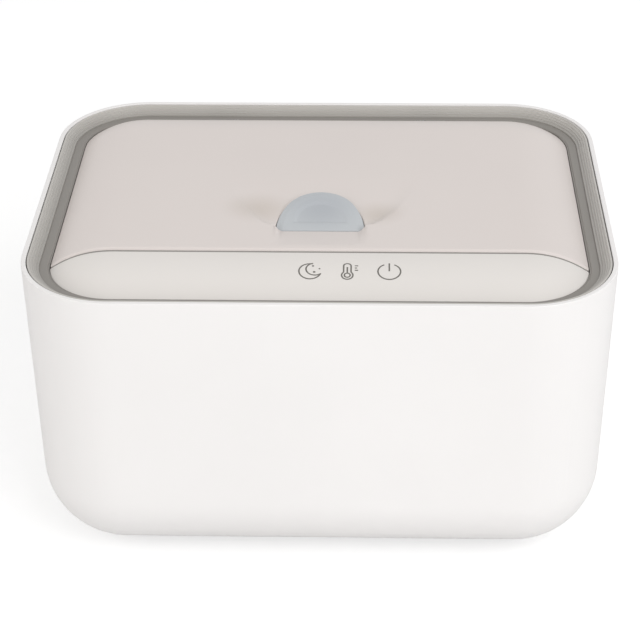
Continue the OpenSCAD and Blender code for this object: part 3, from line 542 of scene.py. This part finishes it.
# %% [markdown]
# ## Parts whose edges are only broken
# No moulded edge is perfectly sharp, and the thin light that runs along it is
# what tells plastic from paper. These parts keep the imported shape. A copy is
# joined up, its flat faces are made whole again, and a small bevel breaks its
# hard edges. The inlet's hole is left sharp, because its collar covers it.

# %% Copies with soft edges
INLET_ROOM = 12.0       # how far round the inlet's middle edges stay sharp
FLAT_ANGLE = radians(0.5)


def joined_copy(node):
    """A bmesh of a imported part, whose loose triangles are joined up."""
    bm = bmesh.new()
    bm.from_mesh(frame["nodes"][node].data)
    weld(bm, 0.002)
    return bm


def break_edges(bm, width, spare):
    """Bevel the hard edges of a mesh, but not those within INLET_ROOM of a spared point."""
    hard = [e for e in bm.edges if len(e.link_faces) == 2 and e.calc_face_angle() > HARD_ANGLE
            and (spare is None or (e.verts[0].co - spare).length > INLET_ROOM * MM)]
    bmesh.ops.bevel(bm, geom=hard, offset=width * MM, offset_type="OFFSET", affect="EDGES", segments=2,
                    profile=0.5, material=-1, clamp_overlap=False)


inlet_low, inlet_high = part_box("power_inlet")
inlet_middle = (inlet_low + inlet_high) / 2
inlet_middle.y = inlet_high.y
BROKEN_EDGES = (
    # name of the piece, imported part, slot, body, width of the bevel
    ("casing_shell", "outer_casing", "casing_white", "housing", 0.35),
    ("ledge_frame", "upper_frame", "ledge_grey", "housing", 0.2),
    ("wipe_tub", "inner_tub", "tub_white", "housing", 0.25),
    ("foot_plate", "base_plate", "casing_white", "housing", 0.2),
    ("inlet_collar", "power_inlet", "dark_plastic", "housing", 0.2),
    ("liner_tray", "lid_liner", "tub_white", "lid", 0.25),
    ("latch_bar", "latch_slider", "latch_plastic", "latch", 0.15),
)
for name, node, slot, body, width in BROKEN_EDGES:
    bm = joined_copy(node)
    bmesh.ops.dissolve_limit(bm, angle_limit=FLAT_ANGLE, verts=bm.verts, edges=bm.edges)
    break_edges(bm, width, inlet_middle if node == "outer_casing" else None)
    make_piece(name, bm, slot, body, [node])

# %% [markdown]
# ## Springs of the button and the latch
# A coil spring is the one hard part that changes its shape, because it is
# squeezed between two others. The imported springs swing with the lid but keep
# their length, so the button and the latch would run into their coils. A joined
# copy of each is made, with a mesh of its own, rides on the lid and keeps its
# length.

# %% Springs of the button and the latch
SPRINGS = (
    # name of the piece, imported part, joint, axis, whether the high end stays
    ("button_coils", "button_springs", "button_press", (0, 0, 1), False),
    ("latch_coil", "latch_spring", "latch_slide", (0, 1, 0), True),
)
for name, node, joint, axis, high_stays in SPRINGS:
    coil = make_piece(name, joined_copy(node), "spring_steel", "lid", [node])
    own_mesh(coil)

# %% [markdown]
# ## Carrying a section round the casing
# The main forms follow the same rounded rectangle, so one section is carried
# round the four corner axes. The spin operator does both halves of the work:
# with an angle it turns the section round a corner axis, and with one step and
# no angle it pulls the section straight to the next corner.

# %% Carry a section round
CORNER_STEPS = 24


def carry_round(bm, section, closed=False):
    """Carry a section of (out, up) points round the casing's corner axes."""
    points = [bm.verts.new(((CORE_X + out) * MM, CORE_Y * MM, up * MM)) for out, up in section]
    pairs = list(zip(points, points[1:]))
    if closed:
        pairs.append((points[-1], points[0]))
    front = points + [bm.edges.new(pair) for pair in pairs]
    corners = ((CORE_X, CORE_Y, -2 * CORE_X, 0), (-CORE_X, CORE_Y, 0, -2 * CORE_Y),
               (-CORE_X, -CORE_Y, 2 * CORE_X, 0), (CORE_X, -CORE_Y, 0, 2 * CORE_Y))
    for axis_x, axis_y, step_x, step_y in corners:
        turned = bmesh.ops.spin(
            bm, geom=front, cent=(axis_x * MM, axis_y * MM, 0), axis=(0, 0, 1),
            angle=radians(90), steps=CORNER_STEPS, use_merge=False)
        pulled = bmesh.ops.spin(
            bm, geom=turned["geom_last"], cent=(0, 0, 0), axis=(0, 0, 1), angle=0, steps=1,
            dvec=(step_x * MM, step_y * MM, 0), use_merge=False)
        front = pulled["geom_last"]
    weld(bm)


print("corner axes at", round(CORE_X, 2), "and", round(CORE_Y, 2), "mm from the middle")

# %% [markdown]
# ## Trim ring
# Under the white rim a light grey ring goes down to the ledge in narrow
# terraces. Their slightly rounded noses draw the fine bright lines in the
# photograph. The stepped section is carried round, and a bevel rounds its edges.

# %% Terraced trim ring
TERRACES = 5
FIRST_DROP = 0.3
TREAD = 0.81
RISER = (Z_RIM - FIRST_DROP - Z_LEDGE) / TERRACES
NOSE_R = 0.24
NOSE_SEGMENTS = 3
FOOT_REACH = 0.18       # closes most of the gap to the ledge

steps_down = [(RING_OUT, Z_SEAT)]
for n in range(TERRACES):
    height = Z_RIM - FIRST_DROP - n * RISER
    steps_down += [(RING_OUT - n * TREAD, height), (RING_OUT - (n + 1) * TREAD, height)]
ring_foot = RING_OUT - TERRACES * TREAD - FOOT_REACH
steps_down[-1] = (ring_foot, steps_down[-1][1])
steps_down.append((ring_foot, Z_SEAT))

bm = bmesh.new()
carry_round(bm, steps_down, closed=True)
make_piece("terraced_ring", bm, "ring_grey", "housing", ["trim_ring"], [round_edges(NOSE_R, NOSE_SEGMENTS)])

# %% [markdown]
# ## Lip of the ledge
# The gap between lid and ledge is a thin grey line in the photograph and not a
# black one, because the ledge has a lip a little lower down, which half fills
# it. A bar is carried round, a plane cuts off its back, where the lid's back
# edge swings down as it opens, and the two open ends are filled.

# %% Lip of the ledge
LIP_CLEAR = 0.18        # from the lid's edge
LIP_BELOW = 0.3         # under the ledge
LIP_HIGH = 2.0
LIP_SUNK = 0.1          # how far it stands in the ledge
LIP_BACK_END = 60.0     # behind it the lid's back edge swings down


def cut(bm, place, way, clear=False, near=None):
    """Cut along a plane, of the whole mesh or of the faces that near() picks."""
    faces = [f for f in bm.faces if near is None or near(f.calc_center_median() / MM)]
    geometry = faces + list({e for f in faces for e in f.edges}) + list({v for f in faces for v in f.verts})
    bmesh.ops.bisect_plane(bm, geom=geometry, plane_co=Vector(place) * MM, plane_no=way, clear_outer=clear)


bm = bmesh.new()
lip_in, lip_out = EDGE_OUT + LIP_CLEAR, LEDGE_OUT + LIP_SUNK
lip_top = Z_LEDGE - LIP_BELOW
carry_round(bm, [(lip_in, lip_top - LIP_HIGH), (lip_out, lip_top - LIP_HIGH), (lip_out, lip_top),
                 (lip_in, lip_top)], closed=True)
cut(bm, (0, LIP_BACK_END, 0), (0, 1, 0), clear=True)
bmesh.ops.holes_fill(bm, edges=[e for e in bm.edges if e.is_boundary], sides=4)
make_piece("ledge_lip", bm, "ledge_grey", "housing")

# %% [markdown]
# ## Section of the pillow
# Lid and panel are cut from one pillow: a flat crown, a broad soft shoulder
# and a short upright skirt. For the shoulder a section of one large arc and
# one small edge arc is enough, as (out, up) points from the crown to the foot.

# %% Section of the soft shoulder
SHOULDER_R = 38.0
SHOULDER_W = 23.2
SHOULDER_STEPS = 22
FLAT_OUT = EDGE_OUT - SHOULDER_W        # where the flat crown ends, from the corner axes
EDGE_R = 0.7
EDGE_STEPS = 5


def arc(centre, radius, start, end, steps):
    """Points on an arc, with angles in degrees."""
    turn = [radians(start + (end - start) * i / steps) for i in range(steps + 1)]
    return [(centre[0] + radius * cos(a), centre[1] + radius * sin(a)) for a in turn]


shoulder_middle = (FLAT_OUT, Z_TOP - SHOULDER_R)
reach = SHOULDER_W - EDGE_R
edge_rise = sqrt((SHOULDER_R - EDGE_R) ** 2 - reach ** 2)
edge_middle = (FLAT_OUT + reach, shoulder_middle[1] + edge_rise)
edge_angle = degrees(atan2(edge_rise, reach))
shoulder = arc(shoulder_middle, SHOULDER_R, 90, edge_angle, SHOULDER_STEPS)
shoulder += arc(edge_middle, EDGE_R, edge_angle, 0, EDGE_STEPS)[1:] + [(EDGE_OUT, Z_SKIRT)]
SKIRT_TOP = edge_middle[1]
SHOULDER_FOOT = edge_middle[1] + EDGE_R * sin(radians(edge_angle))
print("shoulder foot:", round(SHOULDER_FOOT, 2), "skirt:", round(SKIRT_TOP, 2), "to", round(Z_SKIRT, 2))

# %% [markdown]
# ## A cut with a soft edge
# A plane parts lid and panel. A bevel needs faces on both sides of an edge,
# and a cut edge has them on one side only. So more cuts make narrow strips
# beside it, and their points sink along the skin's normal as an arc asks. A
# wall then goes straight down from the cut.

# %% Soft cuts
NEAR = 1e-3             # how exactly a point has to lie on a cut, in mm
END_R = 0.4             # radius of a cut edge where it meets the outline
END_FADE = 2.5          # rise over which it grows to its full radius
CUT_STRIPS = 6


def cut_soft_edge(bm, y, side, radius):
    """Cut across the depth at y, keep what lies on side of it, and round the edge.

    The radius fades to END_R where the edge runs down to the outline, and
    points of the upright skirt only move level.
    """
    cut(bm, (0, y, 0), (0, -side, 0), clear=True)
    for i in range(1, CUT_STRIPS + 1):
        cut(bm, (0, y + side * radius * (1 - cos(radians(90 * i / CUT_STRIPS))), 0), (0, -side, 0))
    bm.normal_update()
    sunk = []
    for vert in bm.verts:
        behind = (vert.co.y / MM - y) * side
        risen = min(1.0, max(0.0, (vert.co.z / MM - SHOULDER_FOOT) / END_FADE))
        local = END_R + (radius - END_R) * risen ** 2 * (3 - 2 * risen)
        if behind < local - 1e-6:
            drop = local - sqrt(max(0.0, local ** 2 - (local - behind) ** 2))
            inward = vert.normal.copy()
            if vert.co.z / MM < SKIRT_TOP + NEAR:
                inward.z = 0
                inward.normalize()
            sunk.append((vert, vert.co - inward * drop * MM, vert.co.y))
    for vert, place, depth in sunk:
        vert.co = place
        vert.co.y = depth


def only(geometry, kind):
    """The parts of one kind among what an operator returns."""
    return [part for part in geometry if isinstance(part, kind)]


def front_wall(bm, y):
    """Close the cut at y with a wall that goes down to the skirt's foot."""
    on_cut = [e for e in bm.edges if e.is_boundary
              and all(abs(v.co.y / MM - y) < NEAR for v in e.verts)
              and min(v.co.z for v in e.verts) / MM > Z_SKIRT + 10 * NEAR]
    grown = bmesh.ops.extrude_edge_only(bm, edges=on_cut)["geom"]
    for vert in only(grown, bmesh.types.BMVert):
        vert.co.z = Z_SKIRT * MM
    weld(bm, 0.005)


print("a soft cut has", CUT_STRIPS, "strips")

# %% [markdown]
# ## Touch panel
# The panel is the part of the pillow that lies in front of the seam. It is
# fixed, and the signs are printed on it. The section is carried all the way
# round, the cut leaves the front, and Solidify gives the skin its wall.

# %% Touch panel
PANEL_EDGE_R = 0.7
PANEL_WALL = 2.4
SEAM_CLEAR = 0.15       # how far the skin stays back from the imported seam
PANEL_END = PANEL_BACK - SEAM_CLEAR

bm = bmesh.new()
carry_round(bm, shoulder)
cut_soft_edge(bm, PANEL_END, -1, PANEL_EDGE_R)
front_wall(bm, PANEL_END)
make_piece("touch_panel_skin", bm, "panel_warm_grey", "housing", ["control_panel"], [thick(PANEL_WALL)])

# %% [markdown]
# ## Dark rib for the seam's shade
# Behind the panel's edge a darker strip fills the front half of the seam, as
# painted shade for the seam's dark line. It is a rib of the ledge's darker
# plastic that stands a little lower than the panel. It takes the same section,
# lowered, of which two planes leave a strip, and the strip's long edges are
# pulled down.

# %% Grey rib that stands in the seam as painted shade
RIB_T = 1.0
RIB_BELOW = 0.35        # how far its top lies under the panel's surface
RIB_END = 0.1           # short of the outline
RIB_CLEAR = 0.02        # from the panel's wall
RIB_FOOT = 1.0          # above the skirt's foot

bm = bmesh.new()
low_shoulder = [(out, up - RIB_BELOW) for out, up in shoulder[:-1]]
carry_round(bm, [(out, up) for out, up in low_shoulder if out < EDGE_OUT - RIB_END])
cut(bm, (0, PANEL_END + RIB_T, 0), (0, 1, 0), clear=True)
cut(bm, (0, PANEL_END + RIB_CLEAR, 0), (0, -1, 0), clear=True)
long_edges = [e for e in bm.edges if e.is_boundary and abs(e.verts[0].co.x - e.verts[1].co.x) > 1e-8]
grown = bmesh.ops.extrude_edge_only(bm, edges=long_edges)["geom"]
for vert in only(grown, bmesh.types.BMVert):
    vert.co.z = (Z_SKIRT + RIB_FOOT) * MM
weld(bm)
# the rib's darker grey is painted shade for the seam's dark line
make_piece("seam_shade_rib", bm, "ledge_grey", "housing")

# %% [markdown]
# ## Touch signs
# Three plain signs are printed on the panel: a moon for the night light, a
# thermometer for the heat and the usual power sign. They are drawn flat, in
# millimetres round their own middle, and are then laid on the shoulder, a
# hair above it. A stroke is a short edge that is spun or pulled along. Their
# print is darker than their slot's finish, so they get one of their own.

# %% Printed signs
print_grey = moulded("print grey", (112, 109, 104), 0.55, depth=0.005)
STROKE = 0.56
SIGN_SQUASH = 0.9       # the signs are a little lower than wide
PRINT_LIFT = 0.02
SIGN_Y = -62.4          # depth of the signs' middles
DOT_SIDES = 12
ARC_STEPS = 40
BAR_STEPS = 6
SIGNS = {
    # name of the piece: x of its middle, and its strokes
    "moon_sign": (-2.75, [
        ("arc", (0, 0), 4.05, 78, 341),
        ("arc", (1.75, 1.1), 3.25, 103, 313),
        ("dot", (1.0, 2.75), 0.42), ("dot", (3.4, 1.25), 0.36), ("dot", (1.5, -0.5), 0.5)]),
    "heat_sign": (10.75, [
        ("arc", (0, -2.1), 2.05, 131, 409),
        ("bar", (-1.35, -0.6), (-1.35, 2.9)), ("bar", (1.35, -0.6), (1.35, 2.9)),
        ("arc", (0, 2.9), 1.35, 0, 180),
        ("bar", (0, -0.8), (0, 2.3)), ("arc", (0, -2.1), 1.05, 0, 360),
        ("bar", (2.7, 3.0), (3.9, 3.0)), ("bar", (2.7, 1.75), (3.5, 1.75)),
        ("bar", (2.7, 0.5), (3.9, 0.5))]),
    "power_sign": (25.95, [
        ("arc", (0, 0), 4.1, 116, 424),
        ("bar", (0, 0.1), (0, 4.6))]),
}


def draw_stroke(bm, kind, *form):
    """Draw one stroke flat in the plane z = 0, in mm."""
    if kind == "dot":
        (x, y), radius = form
        bmesh.ops.create_circle(bm, cap_ends=True, segments=DOT_SIDES, radius=radius,
                                matrix=Matrix.Translation((x, y, 0)))
        return
    if kind == "arc":
        centre, radius, start, end = form
        ends = [arc(centre, radius + side * STROKE / 2, start, start, 1)[0] for side in (-1, 1)]
        motion = {"cent": (*centre, 0), "angle": radians(end - start), "steps": ARC_STEPS}
    else:
        (x0, y0), (x1, y1) = form
        way = Vector((x1 - x0, y1 - y0, 0))
        across = Vector((-way.y, way.x, 0)).normalized() * STROKE / 2
        ends = [(x0 - across.x, y0 - across.y), (x0 + across.x, y0 + across.y)]
        motion = {"cent": (0, 0, 0), "angle": 0, "dvec": way / BAR_STEPS, "steps": BAR_STEPS}
    verts = [bm.verts.new((x, y, 0)) for x, y in ends]
    edge = bm.edges.new(verts)
    bmesh.ops.spin(bm, geom=verts + [edge], axis=(0, 0, 1), use_merge=False, **motion)


for name, (sign_x, strokes) in SIGNS.items():
    bm = bmesh.new()
    for stroke in strokes:
        draw_stroke(bm, *stroke)
    lean = asin((-SIGN_Y - CORE_Y - FLAT_OUT) / SHOULDER_R)
    for vert in bm.verts:
        turn = lean - vert.co.y * SIGN_SQUASH / SHOULDER_R
        radius = SHOULDER_R + PRINT_LIFT
        vert.co = Vector((vert.co.x + sign_x, -CORE_Y - FLAT_OUT - radius * sin(turn),
                          shoulder_middle[1] + radius * cos(turn))) * MM
    sign = make_piece(name, bm, "ledge_grey", "housing")
    sign.data.materials[0] = print_grey

# %% [markdown]
# ## The half-moon
# The button is a half-moon: a straight front and three arcs that run into
# each other along half an ellipse. The same outline cuts the lid's hole, a
# little larger. A ray from inside finds the outline in any direction, so that
# rings round the hole can match rings of the crown.

# %% Outline of the half-moon
BUTTON_W = 33.6
BUTTON_LEN = 22.2
SEAM_TO_BUTTON = 20.1
BUTTON_Y = LID_FRONT + SEAM_TO_BUTTON   # the button's straight front
SIDE_POINTS = 14
BACK_POINTS = 44


def half_moon(width, length, grow=0.0, front=0.0):
    """Outline points in mm with the straight front on y = 0."""
    half = width / 2
    side_r = length ** 2 / half
    back_r = half * (half + length) / (2 * length)
    side_x, back_y = half - side_r, length - back_r
    meet = degrees(atan2(back_y, -side_x))
    right = arc((side_x, 0), side_r + grow, 0, meet, SIDE_POINTS)[:-1]
    back = arc((0, back_y), back_r + grow, meet, 180 - meet, BACK_POINTS)
    left = [(-x, y) for x, y in reversed(right)]
    foot = [(half + grow, -front)]
    return foot + right[1:] + back + left[:-1] + [(-half - grow, -front)]


def ray_to_outline(outline, start, direction):
    """The point where a ray from inside a closed outline leaves it."""
    best = None
    for (ax, ay), (bx, by) in zip(outline, outline[1:] + outline[:1]):
        ex, ey = bx - ax, by - ay
        across = direction[0] * ey - direction[1] * ex
        if abs(across) < 1e-12:
            continue
        far = ((ax - start[0]) * ey - (ay - start[1]) * ex) / across
        along = ((ax - start[0]) * direction[1] - (ay - start[1]) * direction[0]) / across
        if far > 0 and -1e-9 <= along <= 1 + 1e-9 and (best is None or far < best):
            best = far
    return Vector((start[0] + direction[0] * best, start[1] + direction[1] * best, 0))


print("half-moon:", BUTTON_W, "by", BUTTON_LEN, "mm,", len(half_moon(BUTTON_W, BUTTON_LEN)), "points")

# %% [markdown]
# ## The scoop
# Round the button the crown sinks in a fan, so that a finger finds the
# button. The fan starts wide and shallow behind the button and ends at the
# button's front corners, where its edge turns into a soft crease. A short
# ramp in front of the button comes back up. Both are one height formula.

# %% Height of the scooped crown
SCOOP_DEPTH = 2.8                       # at the button's front
SCOOP_BACK = BUTTON_Y + 38.8            # where the fan starts
SCOOP_EASE = 0.35                       # share of the depth that grows evenly
RAMP_FRONT = BUTTON_Y - 15.9            # where the ramp ends
FAN_W = 22.1                            # how much wider than the button it starts, each side
FAN_CURVE = 0.55
FAN_WALL = 8.0                          # width of the fan's sloped edge
RAMP_WALL = 2.6                         # width of the ramp's
CREASE_R = 0.5


def scoop_drop(x, y):
    """How far the crown lies under its flat level at (x, y), in mm."""
    if y >= SCOOP_BACK or y <= RAMP_FRONT:
        return 0.0
    if y > BUTTON_Y:
        t = (SCOOP_BACK - y) / (SCOOP_BACK - BUTTON_Y)
        half = BUTTON_W / 2 + FAN_W * (1 - t) ** FAN_CURVE
        depth, wall = SCOOP_DEPTH * t * (SCOOP_EASE + (1 - SCOOP_EASE) * t), FAN_WALL
    else:
        t = (y - RAMP_FRONT) / (BUTTON_Y - RAMP_FRONT)
        half = BUTTON_W / 2
        depth, wall = SCOOP_DEPTH * t, RAMP_WALL
    from_crease = half - abs(x)
    from_crease = (from_crease + hypot(from_crease, CREASE_R)) / 2
    return depth * (1 - max(0.0, 1 - from_crease / wall) ** 2)


print("drop at the button's front:", round(scoop_drop(0, BUTTON_Y), 2), "mm")

# %% [markdown]
# ## Lid
# The lid has to run from a half-moon hole to a rounded rectangle. So rays go
# out from inside the hole to evenly spaced points of the flat crown's edge,
# and every ring of the lid later has one point on each ray. Two rays are moved
# to the hole's front corners, so that these stay sharp.

# %% Rays from the hole to the crown's edge
HOLE_MIDDLE = (0.0, BUTTON_Y + 7.8)     # where the rays start
BUTTON_GAP = 0.24
LIP_R = 0.5                             # radius of the hole's lip
CORNER_POINTS = 12
LONG_SIDE_POINTS, SHORT_SIDE_POINTS = 70, 46


def straight(a, b, steps):
    """Evenly spaced points from a on, without b."""
    return [(a[0] + (b[0] - a[0]) * i / steps, a[1] + (b[1] - a[1]) * i / steps) for i in range(steps)]


def crown_outline():
    """The flat crown's edge, with evenly spaced points on its straight sides."""
    outline = []
    for x, y, start in ((1, 1, 0), (-1, 1, 90), (-1, -1, 180), (1, -1, 270)):
        turn = arc((x * CORE_X, y * CORE_Y), FLAT_OUT, start, start + 90, CORNER_POINTS)
        outline += turn[:-1]
        next_x, next_y = (-x, y) if x == y else (x, -y)
        target = arc((next_x * CORE_X, next_y * CORE_Y), FLAT_OUT, start + 90, start + 90, 1)[0]
        outline += straight(turn[-1], target, LONG_SIDE_POINTS if x == y else SHORT_SIDE_POINTS)
    return outline


def hole_outline(grow):
    """The button's outline, wider all round by its gap and by grow."""
    wider = BUTTON_GAP + grow
    return [(x, y + BUTTON_Y) for x, y in half_moon(BUTTON_W, BUTTON_LEN, wider, wider)]


def direction_to(place):
    """The way from the rays' start to a place."""
    return Vector((place[0] - HOLE_MIDDLE[0], place[1] - HOLE_MIDDLE[1])).normalized()


crown = crown_outline()
ways = [direction_to(place) for place in crown]
for corner in (hole_outline(LIP_R)[0], hole_outline(LIP_R)[-1]):
    wanted = direction_to(corner)
    nearest = max(range(len(ways)), key=lambda i: ways[i].dot(wanted))
    ways[nearest] = wanted
crown_ends = [ray_to_outline(crown, HOLE_MIDDLE, way) for way in ways]
print("rays from the hole to the crown's edge:", len(ways))

# %% [markdown]
# ## Rings of the lid
# The rings come up the wall of the button's hole, turn over its rounded lip,
# spread over the crown, where the height formula presses the scoop in, and go
# down the shoulder to the skirt. A closed loop of edges is extruded from ring
# to ring, and each new point goes to its place. A soft cut then makes the
# lid's front edge.

# %% Rings of the lid
LIP_TURN = (0, 22, 45, 67, 90)          # points of the hole's lip, in degrees
LIP_WALL = 2.0                          # height of the wall under it
CROWN_RINGS = 84
CROWN_SPREAD = 1.35                     # rings lie closer near the hole
SEAM_R = 1.7
LID_STEP = 0.6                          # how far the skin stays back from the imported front
LID_START = LID_FRONT + LID_STEP


def core_point(place):
    """The nearest point of the rectangle between the corner axes."""
    return Vector((max(-CORE_X, min(CORE_X, place.x)), max(-CORE_Y, min(CORE_Y, place.y)), 0))


def pull_rings(bm, rings):
    """Skin a row of closed rings with equally many points, and return the last loop."""
    verts = [bm.verts.new(point) for point in rings[0]]
    edges = [bm.edges.new(pair) for pair in zip(verts, verts[1:] + verts[:1])]
    places = {vert: i for i, vert in enumerate(verts)}
    for ring in rings[1:]:
        grown = bmesh.ops.extrude_edge_only(bm, edges=edges)["geom"]
        fresh = {}
        for vert in only(grown, bmesh.types.BMVert):
            source = next(e.other_vert(vert) for e in vert.link_edges if e.other_vert(vert) in places)
            fresh[vert] = places[source]
            vert.co = ring[places[source]]
        edges = only(grown, bmesh.types.BMEdge)
        places = fresh
    return edges


rings = []
lip_section = [(0, LIP_R + LIP_WALL)]
lip_section += [(LIP_R * (1 - cos(radians(a))), LIP_R * (1 - sin(radians(a)))) for a in LIP_TURN]
for grow, down in lip_section:
    outline = hole_outline(grow)
    lips = [ray_to_outline(outline, HOLE_MIDDLE, way) for way in ways]
    rings.append([Vector((p.x, p.y, Z_TOP - scoop_drop(p.x, p.y) - down)) for p in lips])
for n in range(1, CROWN_RINGS + 1):
    spread = (n / CROWN_RINGS) ** CROWN_SPREAD
    flat = [lip.lerp(end, spread) for lip, end in zip(lips, crown_ends)]
    rings.append([Vector((p.x, p.y, Z_TOP - scoop_drop(p.x, p.y))) for p in flat])
cores = [core_point(end) for end in crown_ends]
for out, up in shoulder[1:]:
    rings.append([core + (end - core).normalized() * out + Vector((0, 0, up))
                  for core, end in zip(cores, crown_ends)])

bm = bmesh.new()
pull_rings(bm, [[point * MM for point in ring] for ring in rings])
cut_soft_edge(bm, LID_START, 1, SEAM_R)
front_wall(bm, LID_START)
print("rings:", len(rings), "with", len(ways), "points each")

# %% [markdown]
# ## Openings of the lid
# The hinge posts reach through two notches in the lid's back, and the latch
# through a slot in its front wall. Planes cut along an opening's sides, only
# through the faces round it, and the faces inside go. Solidify then gives the
# skin its wall, which closes the cut edges too.

# %% Openings of the lid, and its skin
NOTCH_X = (36.3, 50.3)                  # a notch's sides, from the middle
NOTCH_Y = HINGE_Y - 2.4                 # its front
NOTCH_ROOM = 15.0                       # how far before it the planes may cut
SLOT_HALF = 6.9
latch_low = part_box("latch_slider")[0] / MM
SLOT_Z = (latch_low.z - 0.3, latch_low.z + 2.3)
LID_WALL = 2.2


def cut_window(bm, low, high, axes, near):
    """Cut a rectangular opening whose sides stand on the given axes."""
    for axis in axes:
        way = Vector((0, 0, 0))
        way[axis] = 1
        for corner in (low, high):
            cut(bm, corner, way, near=near)
    inside = [f for f in bm.faces
              if near(f.calc_center_median() / MM)
              and all(low[a] < f.calc_center_median()[a] / MM < high[a] for a in axes)]
    bmesh.ops.delete(bm, geom=inside, context="FACES")


for side in (1, -1):
    x0, x1 = sorted((side * NOTCH_X[0], side * NOTCH_X[1]))
    cut_window(bm, (x0, NOTCH_Y, 0), (x1, casing_high.y, 0), (0, 1),
               lambda p: p.y > NOTCH_Y - NOTCH_ROOM and p.x * side > 0)
cut_window(bm, (-SLOT_HALF, 0, SLOT_Z[0]), (SLOT_HALF, 0, SLOT_Z[1]), (0, 2),
           lambda p: abs(p.y - LID_START) < NEAR)
make_piece("lid_skin", bm, "lid_warm_grey", "lid", ["lid_cover"], [thick(LID_WALL)])

# %% [markdown]
# ## Hinge eyes of the lid
# Two eyes on each side of a hinge post hold the pin. Each is a tube, spun
# from its section round the hinge axis, and half sunk in the lid's wall.

# %% Lid eyes
EYE_R = 1.75
EYE_BORE = 1.3
EYE_L = 7.0
EYE_STEPS = 32

bm = bmesh.new()
for side in (1, -1):
    for start in (NOTCH_X[0] - EYE_L, NOTCH_X[1]):
        x0, x1 = sorted((side * start, side * (start + EYE_L)))
        section = ((x0, EYE_BORE), (x0, EYE_R), (x1, EYE_R), (x1, EYE_BORE))
        corners = [(x, HINGE_Y, HINGE_Z + r) for x, r in section]
        verts = [bm.verts.new(Vector(corner) * MM) for corner in corners]
        edges = [bm.edges.new(pair) for pair in zip(verts, verts[1:] + verts[:1])]
        bmesh.ops.spin(bm, geom=verts + edges, cent=(0, HINGE_Y * MM, HINGE_Z * MM), axis=(1, 0, 0),
                       angle=2 * pi, steps=EYE_STEPS, use_merge=True)
make_piece("lid_eyes", bm, "lid_warm_grey", "lid")

# %% [markdown]
# ## Button
# The button follows the slope of its face. Its rings rise upright to the
# slope, cross a broad low bevel round the arch, run over the flat face and
# dip into a soft finger recess of the same half-moon shape.

# %% Half-moon button
BUTTON_TILT = radians(14)
Z_FACE = Z_TOP - SCOOP_DEPTH            # height of the face at the button's front edge
BUTTON_T = 4.0
BEVEL_W = 2.6
BEVEL_H = 0.7
BEVEL_RINGS = (
    # inset from the outline, and height over the face
    (0, -BEVEL_H - 0.6), (0, -BEVEL_H - 0.25), (0.06, -BEVEL_H - 0.08), (0.25, -BEVEL_H + 0.05),
    (BEVEL_W - 0.55, -0.16), (BEVEL_W - 0.25, -0.08), (BEVEL_W, -0.025), (BEVEL_W + 0.35, 0),
)
RECESS_W = 19.2
RECESS_LEN = 11.2
RECESS_Y = 4.9          # from the button's front edge
RECESS_DEPTH = 0.45
RECESS_SOFT = 2.2       # width of the recess's soft wall
RECESS_STEPS = 10
FACE_LEN = BUTTON_LEN / cos(BUTTON_TILT)


def on_face(x, along, height):
    """A point of the sloped face: along it from the front edge, and straight above it."""
    return Vector((x, BUTTON_Y + along * cos(BUTTON_TILT), Z_FACE + along * sin(BUTTON_TILT) + height)) * MM


def face_ring(inset, height):
    """The outline on the face, drawn in by inset and lifted by height."""
    return [on_face(x, y, height) for x, y in half_moon(BUTTON_W, FACE_LEN, -inset)]


rings = [[Vector((x, y + BUTTON_Y, Z_FACE - BUTTON_T)) * MM for x, y in half_moon(BUTTON_W, BUTTON_LEN)]]
rings += [face_ring(inset, height) for inset, height in BEVEL_RINGS]
for part in range(RECESS_STEPS + 1):
    blend = part / RECESS_STEPS
    grow = RECESS_SOFT * (0.5 - blend)
    lower = RECESS_DEPTH * (0.5 - 0.5 * cos(pi * blend))
    rings.append([on_face(x, y + RECESS_Y, -lower) for x, y in half_moon(RECESS_W, RECESS_LEN, grow, grow)])

bm = bmesh.new()
last = pull_rings(bm, rings)
bmesh.ops.edgeloop_fill(bm, edges=last)
make_piece("button_cap", bm, "button_blue_grey", "button", ["open_button"], sharp=30)
